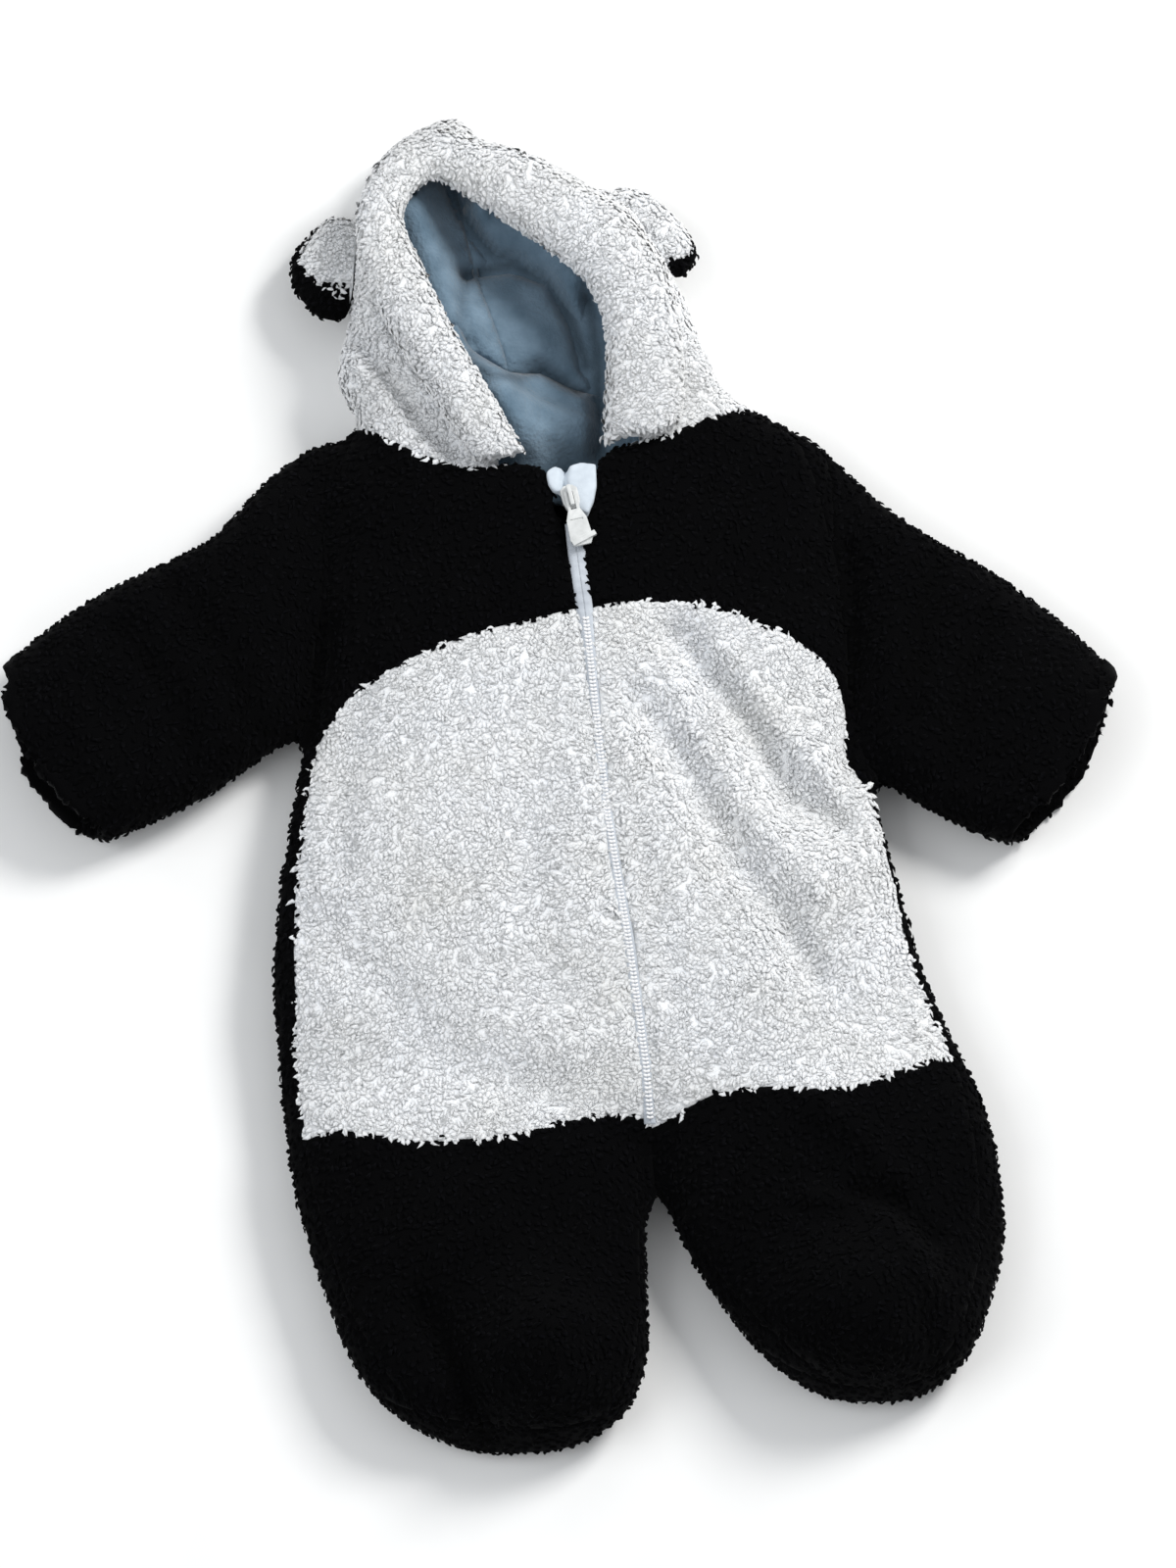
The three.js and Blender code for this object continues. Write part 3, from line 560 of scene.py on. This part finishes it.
def crease_shade_depth(points, folds):
    """How deep in a crease each point lies, from 0 to 1, which sets the painted shade there."""
    pixels = pixels_of(points)
    deepest = np.zeros(len(points))
    for line, wide, deep in folds:
        if deep > 0:
            near = np.exp(-(distance_to_line(pixels, line) / (CREASE_SHARE * wide)) ** 2)
            deepest = np.maximum(deepest, near * min(deep / FULL_CREASE, 1))
    return deepest


def pulled(bm):
    """Draws the cloth out or in along the floor."""
    pixels = pixels_of(np.array([v.co for v in bm.verts]))
    shift = np.zeros_like(pixels)
    for middle, reach, way in PULLS:
        share = np.exp(-((pixels - middle) ** 2).sum(axis=1) / reach ** 2)
        shift += share[:, None] * way
    for vert, (right, down) in zip(bm.verts, shift * PIXEL * MM):
        vert.co.x += right
        vert.co.y -= down / sin(ELEVATION)
    bm.normal_update()


def folded(bm, folds, lumps=1.0):
    """Lowers the cloth that faces up along its folds, and lets it lie a little uneven, by a share of
    the lumps' rise."""
    places = np.array([v.co for v in bm.verts])
    facing = np.array([v.normal.z for v in bm.verts])
    pixels = pixels_of(places)
    lift = np.array([lumps * sum(rise * noise.noise(v.co / (size * MM)) for size, rise in LUMPS)
                     for v in bm.verts])
    for line, wide, deep in folds:
        lift -= deep * np.exp(-(distance_to_line(pixels, line) / wide) ** 2)
    # In full where the cloth faces up, and fading out on its sides
    lift *= np.clip(facing * 2, 0, 1)
    for vert, up in zip(bm.verts, lift):
        vert.co.z += up * MM
    bm.normal_update()


def make_skin():
    """The outside of the whole garment, with the zip's slot closed over the tapes."""
    bm = cad_copy([n for n in SKIN if not n.startswith("zip")], NODE_SWELL * MM)
    bm.from_mesh(mesh_of(cad_copy(["zip_tape_left", "zip_tape_right"], TAPE_SWELL * MM), "tapes"))
    bm = remeshed(bm, SKIN_VOXEL * MM)
    shown = set(in_the_open(bm))
    shown = grown(shown - grown(set(bm.faces) - shown, RINGS_OFF), RINGS_ON)
    bmesh.ops.delete(bm, geom=[f for f in bm.faces if f not in shown], context="FACES")
    bmesh.ops.holes_fill(bm, edges=[e for e in bm.edges if e.is_boundary], sides=HOLE_SIDES)
    bmesh.ops.triangulate(bm, faces=[f for f in bm.faces if len(f.verts) > 4])
    smoothed(bm, SKIN_STEPS)
    folded(bm, FOLDS)
    pulled(bm)
    sunk(bm, PILE_DEPTH)
    return bm


def inside(points, outline):
    """Which points lie within a closed outline."""
    within = np.zeros(len(points), bool)
    for (ax, ay), (bx, by) in zip(outline, outline[1:] + outline[:1]):
        spans = (ay > points[:, 1]) != (by > points[:, 1])
        within ^= spans & (points[:, 0] < (bx - ax) * (points[:, 1] - ay) / ((by - ay) or 1) + ax)
    return within


def top_of(tree, vert):
    """Where a surface's top lies over or under a vertex, or None where it has none there."""
    return tree.ray_cast(Vector((vert.co.x, vert.co.y, 1)), DOWN)[0]


def kept_under(bm, cover, gap):
    """Lets nothing rise through the cloth that covers it, and lowers what is out of sight."""
    band, _ = tree_of(["hood_band"])
    shows = inside(pixels_of(np.array([v.co for v in bm.verts])), FACE_OPENING)
    for vert, open_above in zip(bm.verts, shows):
        top = top_of(cover, vert)
        if not open_above:
            vert.co.z = min(vert.co.z, HIDDEN_LINING_TOP * MM)
        roll = top_of(band, vert)
        if roll is not None:
            vert.co.z = min(vert.co.z, roll.z - BAND_COVER * MM)
        if top is not None and top.z > COVER_LOWEST * MM:
            vert.co.z = min(vert.co.z, top.z - gap * MM)
        vert.co.z = max(vert.co.z, LINING_LOWEST * MM)
    bm.normal_update()


def make_lining_skin(cover):
    """The inner side of the lining, which shows in the face opening."""
    fleece, _ = tree_of([n for n in SOFT if n not in LINING])
    bm = remeshed(cad_copy(LINING, LINING_SWELL * MM), LINING_VOXEL * MM)
    against = [f for f in bm.faces
               if fleece.ray_cast(f.calc_center_median(), f.normal, LINING_VOXEL * MM)[0] is not None]
    bmesh.ops.delete(bm, geom=against, context="FACES")
    smoothed(bm, LINING_STEPS)
    folded(bm, LINING_FOLDS, LINING_LUMPS)
    pulled(bm)
    kept_under(bm, cover, LINING_CLEARANCE)
    return bm


def owners_of(bm, tree, owners):
    """The node that each face is nearest to, in the order of the faces' numbers."""
    bm.faces.index_update()
    return [owners[tree.find_nearest(f.calc_center_median())[2]] for f in bm.faces]


def seams_evened(bm, owners, steps=14):
    """Draws the seams between pieces out of their stair steps into smooth lines."""
    along = {}
    for edge in bm.edges:
        if len({owners[face.index] for face in edge.link_faces}) == 2:
            for vert in edge.verts:
                along.setdefault(vert, []).append(edge.other_vert(vert))
    for _ in range(steps):
        moved = {vert: vert.co / 2 + (ends[0].co + ends[1].co) / 4
                 for vert, ends in along.items() if len(ends) == 2}
        for vert, place in moved.items():
            vert.co = place
    bm.normal_update()


def patch_of(bm, owners, node):
    """The part of a skin that belongs to a node."""
    patch = bm.copy()
    others = [f for f, owner in zip(patch.faces, owners) if owner != node]
    bmesh.ops.delete(patch, geom=others, context="FACES")
    return mesh_of(patch, f"{node}_cloth")


def wall(piece, thick):
    """Gives a piece its thickness, inwards, and less of it where the floor is close underneath."""
    group = piece.vertex_groups.new(name="thickness")
    for vert in piece.data.vertices:
        up = vert.normal.z
        room = (vert.co.z / MM - FLOOR_GAP) / (thick * up) if up > UPRIGHT else 1
        group.add([vert.index], min(max(room, THINNEST), 1), "REPLACE")
    modifier = piece.modifiers.new("wall", "SOLIDIFY")
    modifier.thickness = thick * MM
    modifier.offset = -1
    modifier.vertex_group = group.name


skin = make_skin()
face_owners = owners_of(skin, skin_tree, skin_owners)
# Above the zip's top, what closes the slot belongs to the yokes
for place, face in enumerate(skin.faces):
    middle = face.calc_center_median() / MM
    if face_owners[place].startswith("zip") and middle.y > ZIP_TOP and middle.z > FRONT_LOWEST:
        face_owners[place] = "yoke_left" if middle.x < ZIP_TOP_X else "yoke_right"
seams_evened(skin, face_owners)
skin_surface = BVHTree.FromBMesh(skin)


# Pile: thousands of curled locks, each a bent cone, joined into one mesh a piece.
# A lock is cut at two shares of its length. Its girth and its arch are given at its root, its cuts
# and its tip, as shares of its width and its rise, and it is flatter than it is wide.
LOCK_CUTS = (0.36, 0.7)
LOCK_KEYS = (0, *LOCK_CUTS, 1)
LOCK_GIRTH = (0.75, 1.0, 0.85, 0.0)
LOCK_ARCH = (-0.45, 0.62, 1.0, 0.72)
LOCK_FLATNESS = 0.45
# How far single locks stray: shares of length, width and rise, the sway, the tip's lift and the turn
STRAY_LENGTH = (0.7, 1.25)
STRAY_WIDTH = (0.75, 1.3)
STRAY_RISE = (0.6, 1.35)
STRAY_SWAY = 0.22
STRAY_TIP = (-0.35, 0.5)
STRAY_TURN = 0.75
# A lock runs ahead by this power of its length, sways by this share of half a turn, and its tip
# lifts by this power
LOCK_AHEAD = 1.15
LOCK_BENDS = 1.25
LOCK_CURL = 3
# The pile is combed towards the feet, and drifts off that way over some 20 mm, by crossed waves of
# their own pitch and phase. The nudge leaves a lean where the cloth faces along the comb.
COMB = np.array((0.0, -1.0, 0.0))
NUDGE = 1e-4
DRIFT_SIZE = 20
DRIFT_WAVES = 5
DRIFT_PITCH = (0.6, 1.6)
DRIFT_PHASE = (0, 6)
DRIFT_CALM = 2.2
DRIFT_SEED = 3
PILE_LOWEST = 0.1
PILE_SEED = 7


def lock_form():
    """A lock's template: a three-sided cone cut into three lengths."""
    bm = bmesh.new()
    bmesh.ops.create_cone(bm, cap_ends=True, segments=3, radius1=1, radius2=0, depth=1)
    bmesh.ops.translate(bm, verts=bm.verts, vec=(0, 0, 0.5))
    for height in LOCK_CUTS:
        bmesh.ops.bisect_plane(bm, geom=bm.verts[:] + bm.edges[:] + bm.faces[:],
                               plane_co=(0, 0, height), plane_no=(0, 0, 1))
    bm.verts.index_update()
    places = np.array([v.co for v in bm.verts])
    faces = [[v.index for v in f.verts] for f in bm.faces]
    bm.free()
    return places, faces


LOCK_PLACES, LOCK_FACES = lock_form()
random = np.random.default_rng(PILE_SEED)


def unit(vectors):
    return vectors / np.maximum(np.linalg.norm(vectors, axis=1, keepdims=True), 1e-9)


def drift(points):
    """A smooth pseudo-random angle over the garment, from a few crossed waves."""
    waves = np.random.default_rng(DRIFT_SEED)
    angle = np.zeros(len(points))
    for _ in range(DRIFT_WAVES):
        way = waves.normal(size=3)
        way /= np.linalg.norm(way)
        pitch = waves.uniform(*DRIFT_PITCH)
        angle += np.sin(points @ way / (DRIFT_SIZE * MM) * pitch + waves.uniform(*DRIFT_PHASE))
    return angle / DRIFT_CALM


def lock_pile(name, roots, normals, length, width, rise, soft, tones, material, slot_name):
    """Locks that stand on roots and lean over their own way, shaded in part by the cloth's normals."""
    count = len(roots)
    lean = COMB - normals * (normals @ COMB)[:, None]
    lean = unit(lean + NUDGE * random.normal(size=(count, 3)))
    side = np.cross(normals, lean)
    turn = drift(roots) + random.normal(size=count) * STRAY_TURN
    lean, side = (lean * np.cos(turn)[:, None] + side * np.sin(turn)[:, None],
                  side * np.cos(turn)[:, None] - lean * np.sin(turn)[:, None])
    longs = length * random.uniform(*STRAY_LENGTH, count)
    wides = width * random.uniform(*STRAY_WIDTH, count)
    rises = rise * random.uniform(*STRAY_RISE, count)
    curls = random.normal(size=count) * STRAY_SWAY
    tips = random.uniform(*STRAY_TIP, count)
    t = LOCK_PLACES[:, 2]
    ring = LOCK_PLACES[:, :2] / np.maximum(np.hypot(*LOCK_PLACES[:, :2].T), 1e-6)[:, None]
    girth = np.interp(t, LOCK_KEYS, LOCK_GIRTH)
    across = ring[:, 0] * girth
    thick = ring[:, 1] * girth * LOCK_FLATNESS
    ahead = longs[:, None] * (t ** LOCK_AHEAD)[None]
    sway = (curls * longs)[:, None] * np.sin(pi * t * LOCK_BENDS)[None]
    arch = (np.interp(t, LOCK_KEYS, LOCK_ARCH)[None] * rises[:, None]
            + (tips * rises)[:, None] * (t ** LOCK_CURL)[None])
    places = (roots[:, None] + lean[:, None] * ahead[..., None]
              + side[:, None] * (sway + across[None] * wides[:, None])[..., None]
              + normals[:, None] * (arch + thick[None] * wides[:, None])[..., None])
    places[..., 2] = np.maximum(places[..., 2], PILE_LOWEST * MM)
    verts = places.reshape(-1, 3)
    per = len(t)
    corners = np.concatenate(LOCK_FACES)
    sizes = np.array([len(f) for f in LOCK_FACES])
    loops = (corners[None] + per * np.arange(count)[:, None]).ravel()
    totals = np.tile(sizes, count)
    starts = np.concatenate([[0], np.cumsum(totals)[:-1]])
    mesh = bpy.data.meshes.new(name)
    mesh.vertices.add(len(verts))
    mesh.vertices.foreach_set("co", verts.ravel())
    mesh.loops.add(len(loops))
    mesh.loops.foreach_set("vertex_index", loops)
    mesh.polygons.add(len(totals))
    mesh.polygons.foreach_set("loop_start", starts)
    mesh.polygons.foreach_set("loop_total", totals)
    mesh.update(calc_edges=True)
    mesh.polygons.foreach_set("use_smooth", np.ones(len(mesh.polygons), bool))
    own = np.empty(len(verts) * 3)
    mesh.vertices.foreach_get("normal", own)
    softened = unit(own.reshape(-1, 3) * (1 - soft) + np.repeat(normals, per, axis=0) * soft)
    mesh.normals_split_custom_set_from_vertices(softened)
    mesh.attributes.new("tip", "FLOAT", "POINT").data.foreach_set("value", np.tile(t, count))
    # Each lock's tone: its random tone, less the painted shade of a crease
    mesh.attributes.new("tone", "FLOAT", "POINT").data.foreach_set("value", np.repeat(tones, per))
    return finish_piece(name, mesh, material)


# Places tried for each square of the spacing, before those that lie too close are dropped
TRIES = 2.6


def scattered(faces, spacing_of):
    """Even random places on faces of a bmesh, and the surface's normals there."""
    corners, normals = [], []
    for face in faces:
        verts = face.verts
        for i in range(1, len(verts) - 1):
            tri = (verts[0], verts[i], verts[i + 1])
            corners.append([v.co for v in tri])
            normals.append([v.normal for v in tri])
    corners, normals = np.array(corners), np.array(normals)
    across = np.cross(corners[:, 1] - corners[:, 0], corners[:, 2] - corners[:, 0])
    areas = np.linalg.norm(across, axis=1) / 2
    middles, facing = corners.mean(axis=1), unit(normals.mean(axis=1))
    spacing = spacing_of(middles, facing)
    counts = random.poisson(areas / spacing ** 2 * TRIES)
    which = np.repeat(np.arange(len(corners)), counts)
    a, b = random.uniform(size=(2, len(which)))
    flip = a + b > 1
    a[flip], b[flip] = 1 - a[flip], 1 - b[flip]
    weights = np.stack([1 - a - b, a, b], axis=1)
    places = (corners[which] * weights[..., None]).sum(axis=1)
    ways = unit((normals[which] * weights[..., None]).sum(axis=1))
    gaps = spacing[which]
    order = random.permutation(len(places))
    cell = gaps.min()
    taken, kept = {}, []
    for i in order:
        key = tuple((places[i] // cell).astype(int))
        reach = int(np.ceil(gaps[i] / cell))
        steps = range(-reach, reach + 1)
        near = (j for x in steps for y in steps for z in steps
                for j in taken.get((key[0] + x, key[1] + y, key[2] + z), ()))
        if all(np.dot(places[i] - places[j], places[i] - places[j]) >= gaps[i] ** 2 for j in near):
            taken.setdefault(key, []).append(i)
            kept.append(i)
    kept = np.array(sorted(kept))
    return places[kept], ways[kept]


def shaded(mesh, tip, tone):
    """Gives a mesh the attributes that its colour reads: its place along the pile, which the sherpa
    reads for the painted shade of its roots, and its tone, which carries the painted shade of creases.
    """
    for name, value in (("tip", tip), ("tone", tone)):
        mesh.attributes.new(name, "FLOAT", "POINT").data.foreach_set(
            "value", np.broadcast_to(value, len(mesh.vertices)).astype(float))


def places_of(mesh):
    places = np.empty(len(mesh.vertices) * 3)
    mesh.vertices.foreach_get("co", places)
    return places.reshape(-1, 3)


# The white and the black sherpa: material and slot, a lock's size in metres and how softly it is
# shaded, the gaps in mm between locks in front and behind, and how much painted shade darkens them
# in a crease
SHERPA = {True: (white_sherpa, "white_sherpa"), False: (black_sherpa, "black_sherpa")}
LOCKS = {True: dict(length=4.4 * MM, width=1.45 * MM, rise=0.62 * MM, soft=0.9),
         False: dict(length=3.6 * MM, width=1.5 * MM, rise=0.75 * MM, soft=0.5)}
LOCK_GAPS = {True: (1.75, 3.4), False: (2.7, 5.0)}
CREASE_SHADE = {True: 2.6, False: 0.7}
# Cloth that faces down more than this counts as behind
BEHIND = -0.3
# The bare cloth's place along the pile, which its colour reads with the painted shade of the roots,
# and its tone away from creases
CLOTH_TIP = 0.35
CLOTH_TONE = 0.5


def front_or_back(white):
    """A function for the gaps between locks, by the way the cloth faces."""
    front, back = LOCK_GAPS[white]
    return lambda middles, facing: np.where(facing[:, 2] > BEHIND, front, back) * MM


def zip_at(y):
    """The zip's x and the width of its tape at some y, all in mm."""
    keys, xs, wides = np.array(ZIP_LINE[::-1], float).T
    return np.interp(y, keys, xs), np.interp(y, keys, wides)


def off_the_zip(points):
    """True for places where pile may stand, above the zip or beside its tape."""
    x, wide = zip_at(points[:, 1] / MM)
    return (np.abs(points[:, 0] / MM - x) > wide / 2) | (points[:, 1] / MM > ZIP_TOP)


def pile_of(node, roots, ways):
    """A node's pile on its roots, with painted shade that darkens it in the creases."""
    material, slot_name = SHERPA[is_white(node)]
    tones = random.uniform(0, 1, len(roots)) - CREASE_SHADE[is_white(node)] * crease_shade_depth(roots, FOLDS)
    return lock_pile(f"{node}_pile", roots, ways, tones=tones, material=material, slot_name=slot_name,
                     **LOCKS[is_white(node)])


def fleece_piece(node, mesh):
    """The cloth under a node's pile, with painted shade that darkens it in the creases."""
    material, slot_name = SHERPA[is_white(node)]
    cloth = finish_piece(f"{node}_cloth", mesh, material)
    shaded(mesh, CLOTH_TIP, CLOTH_TONE - CREASE_SHADE[is_white(node)] * crease_shade_depth(places_of(mesh), FOLDS))
    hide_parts(node)
    return cloth


# The fleece pieces that are parts of the skin, with no pile over the zip on the front
BACK_BELOW = 20
for white in (True, False):
    faces = [f for f, owner in zip(skin.faces, face_owners)
             if is_white(owner) == white and not owner.startswith("zip")]
    roots, ways = scattered(faces, front_or_back(white))
    clear = off_the_zip(roots) | (roots[:, 2] < BACK_BELOW * MM)
    roots, ways = roots[clear], ways[clear]
    owner = np.array([face_owners[skin_surface.find_nearest(Vector(place))[2]] for place in roots])
    for node in (n for n in SKIN if is_white(n) == white and not n.startswith("zip")):
        cloth = fleece_piece(node, patch_of(skin, face_owners, node))
        wall(cloth, CLOTH_THICK)
        mine = owner == node
        pile_of(node, roots[mine], ways[mine])

# The band round the face and the ears, each its own closed form: the size of its mesh and its swell
# in mm, and its steps of smoothing. Pile stands where the air is open this far off.
ROLLS = {"hood_band": (2.4, 0, 5), "ear_front_left": (1.6, 1.3, 4), "ear_front_right": (1.6, 1.8, 4),
         "ear_back_left": (1.8, 0.4, 4), "ear_back_right": (1.8, 0.4, 4)}
ROLL_PILE_DEPTH = 0.8
ROLL_AIR = 2.5
for node, (voxel, swell, steps) in ROLLS.items():
    bm = remeshed(cad_copy([node], swell * MM), voxel * MM)
    smoothed(bm, steps)
    shown = in_the_open(bm, ROLL_AIR)
    pulled(bm)
    sunk(bm, ROLL_PILE_DEPTH)
    roots, ways = scattered(shown, front_or_back(is_white(node)))
    fleece_piece(node, mesh_of(bm, f"{node}_cloth"))
    pile_of(node, roots, ways)

# Lining
lining_skin = make_lining_skin(skin_surface)
lining_tree, lining_names = tree_of(LINING)
lining_owners = owners_of(lining_skin, lining_tree, lining_names)
seams_evened(lining_skin, lining_owners)
for node in LINING:
    cloth = finish_piece(f"{node}_cloth", patch_of(lining_skin, lining_owners, node), grey_blue_fleece)
    # Painted shade in the lining's creases
    shaded(cloth.data, CLOTH_TONE, -crease_shade_depth(places_of(cloth.data), LINING_FOLDS))
    wall(cloth, LINING_THICK)
    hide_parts(node)

# Zip: a tape either side of the closed teeth, laid over the slot. All sizes are in mm. The cloth's
# heights are taken from above all of it, and are evened over this many rows.
ABOVE_ALL = 200
EVENED_OVER = 9
TAPE_THICK = 0.9
TAPE_ROW = 1.5
TAPE_COLUMNS = 5
# A tape starts beside the teeth and ends under the pile. Its edge follows the cloth that far aside,
# and its middle lies no deeper than this below the cloth.
TAPE_START = 0.04
TAPE_HIDDEN = 1.8
TAPE_ASIDE = 5.0
TAPE_DIP = 0.6
# The tape is lifted by a share of the width that shows, up to a limit, and falls away to its edge
TAPE_LIFT = 0.8
TAPE_LIFT_MOST = 1.3
TAPE_FALL = 0.2
TAPE_EDGE_SUNK = 0.5
TAPE_SHOULDER = 0.6
SCALLOP = 0.22
SCALLOP_RATE = 2.1
# The teeth: where they start, their pitch, radii and length, how far aside and how flat each is,
# how far it is turned, and how high it stands
TEETH_FROM = 66
TEETH_SHORT = 3
TOOTH_PITCH = 1.9
TOOTH_RADII = (0.62, 0.5)
TOOTH_LENGTH = 1.7
TOOTH_ASIDE = 0.75
TOOTH_FORM = (0.8, 1.2, 1, 1)
TOOTH_TURN = radians(22)
TOOTH_LIFT = 0.9
TOOTH_LIFT_MOST = 1.35


def skin_height(x, y):
    """How high the garment's front is at a place, all in mm."""
    top = skin_surface.ray_cast(Vector((x, y, ABOVE_ALL)) * MM, DOWN)[0]
    return top.z / MM if top is not None and top.z > FRONT_LOWEST * MM else np.nan


def zip_heights(ys, aside=0.0):
    """The front's height down the zip, evened out, aside from its middle by some millimetres."""
    highs = np.array([skin_height(zip_at(y)[0] + aside, y) for y in ys])
    known = ~np.isnan(highs)
    highs = np.interp(np.arange(len(ys)), np.flatnonzero(known), highs[known])
    padded = np.pad(highs, EVENED_OVER // 2, mode="edge")
    return np.convolve(padded, np.ones(EVENED_OVER) / EVENED_OVER, mode="valid")


def lift_at(wide, share, most):
    """How far part of the zip stands over the cloth, where so much of the tape shows."""
    return min(most, share * (wide - 1))


def make_tape(node, sign):
    """One tape: a grid laid down the zip on its side, which is -1 for the left."""
    ys = np.arange(ZIP_TOP, ZIP_END, -TAPE_ROW)
    edge = zip_heights(ys, sign * TAPE_ASIDE)
    middle = np.maximum(zip_heights(ys), edge - TAPE_DIP)
    bm = bmesh.new()
    bmesh.ops.create_grid(bm, x_segments=TAPE_COLUMNS, y_segments=len(ys) - 1, size=1)
    for vert in bm.verts:
        row = round((1 - vert.co.y) / 2 * (len(ys) - 1))
        x, wide = zip_at(ys[row])
        across = (vert.co.x + 1) / 2
        out = TAPE_START + across * (wide / 2 + TAPE_HIDDEN)
        scallop = SCALLOP * sin(ys[row] * SCALLOP_RATE) * (1 - across)
        ridge = middle[row] + lift_at(wide, TAPE_LIFT, TAPE_LIFT_MOST)
        high = np.interp(across, (0, TAPE_SHOULDER, 1),
                         (ridge, ridge - TAPE_FALL, edge[row] - TAPE_EDGE_SUNK))
        vert.co = Vector((x + sign * out, ys[row], high + scallop)) * MM
    if sign < 0:
        bmesh.ops.reverse_faces(bm, faces=bm.faces)
    tape = finish_piece(f"{node}_cloth", mesh_of(bm, f"{node}_cloth"), white_tape)
    wall(tape, TAPE_THICK)
    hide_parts(node)


def make_teeth():
    """The closed coil: pairs of slanted bars that meet over the middle."""
    ys = np.arange(TEETH_FROM, ZIP_END + TEETH_SHORT, -TOOTH_PITCH)
    bm = bmesh.new()
    for y, high in zip(ys, zip_heights(ys)):
        x, wide = zip_at(y)
        top = high + lift_at(wide, TOOTH_LIFT, TOOTH_LIFT_MOST)
        for sign in (-1, 1):
            made = bmesh.ops.create_cone(bm, cap_ends=True, segments=6, radius1=TOOTH_RADII[0],
                                         radius2=TOOTH_RADII[1], depth=TOOTH_LENGTH)
            place = (Matrix.Translation((x + sign * TOOTH_ASIDE, y, top))
                     @ Matrix.Rotation(sign * TOOTH_TURN, 4, "Z")
                     @ Matrix.Rotation(sign * pi / 2, 4, "Y") @ Matrix.Diagonal(TOOTH_FORM))
            bmesh.ops.transform(bm, matrix=place, verts=made["verts"])
    bmesh.ops.scale(bm, vec=(MM, MM, MM), verts=bm.verts)
    finish_piece("zip_teeth", mesh_of(bm, "zip_teeth"), white_thread)


make_tape("zip_tape_left", -1)
make_tape("zip_tape_right", 1)
make_teeth()

# Chin guard: a folded scrap of smooth fleece that stands up behind the zip's top as two lobes.
# Each lobe and the scrap between them is an outline in pixels of the photograph, the height of its
# middle and its thickness in mm.
GUARD_LOBES = [
    ([(557, 484), (565, 478), (574, 480), (575, 490), (573, 505), (565, 505), (559, 497)], 44.0, 4.2),
    ([(581, 478), (592, 475), (608, 476), (609, 498), (606, 514), (600, 528), (591, 524),
      (583, 510), (578, 499), (577, 488)], 44.2, 5.6),
    ([(562, 486), (606, 480), (601, 528), (588, 534), (574, 512)], 42.0, 2.4),
]
GUARD_FOLD = [([(577, 474), (575, 490), (579, 508)], 3.4, 2.8)]
GUARD_LUMPS = 0.8
GUARD_VOXEL = 0.9
GUARD_STEPS = 6


def make_guard():
    bm = bmesh.new()
    for outline, high, thick in GUARD_LOBES:
        low = [bm.verts.new(seen(px, py, high - thick / 2)) for px, py in reversed(outline)]
        face = bm.faces.new(low)
        bmesh.ops.recalc_face_normals(bm, faces=[face])
        made = bmesh.ops.extrude_face_region(bm, geom=[face], use_keep_orig=True)["geom"]
        bmesh.ops.translate(bm, vec=(0, 0, thick * MM),
                            verts=[v for v in made if isinstance(v, bmesh.types.BMVert)])
    bmesh.ops.recalc_face_normals(bm, faces=bm.faces)
    bm = remeshed(bm, GUARD_VOXEL * MM)
    smoothed(bm, GUARD_STEPS)
    folded(bm, GUARD_FOLD, GUARD_LUMPS)
    guard = finish_piece("chin_guard_cloth", mesh_of(bm, "chin_guard_cloth"), white_microfleece)
    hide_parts("chin_guard")


make_guard()

# Slider and pull tab, with their edges rounded as on a die casting
FLAT = radians(1)
ROUNDED_FROM = radians(35)
SHARP_FROM = radians(40)
CAST_EDGE = 0.3


def make_casting(node, body):
    bm = cad_copy([node])
    bmesh.ops.dissolve_limit(bm, angle_limit=FLAT, verts=bm.verts, edges=bm.edges)
    sharp = [e for e in bm.edges if len(e.link_faces) == 2 and e.calc_face_angle() > ROUNDED_FROM]
    bmesh.ops.bevel(bm, geom=sharp, offset=CAST_EDGE * MM, segments=2, profile=0.5, affect="EDGES",
                    material=-1, clamp_overlap=True)
    piece = finish_piece(f"{node}_casting", mesh_of(bm, f"{node}_casting"), enamelled_metal)
    piece.data.set_sharp_from_angle(angle=SHARP_FROM)
    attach(piece, body)
    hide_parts(node)


make_casting("slider", BODY)
make_casting("pull_tab", "pull")
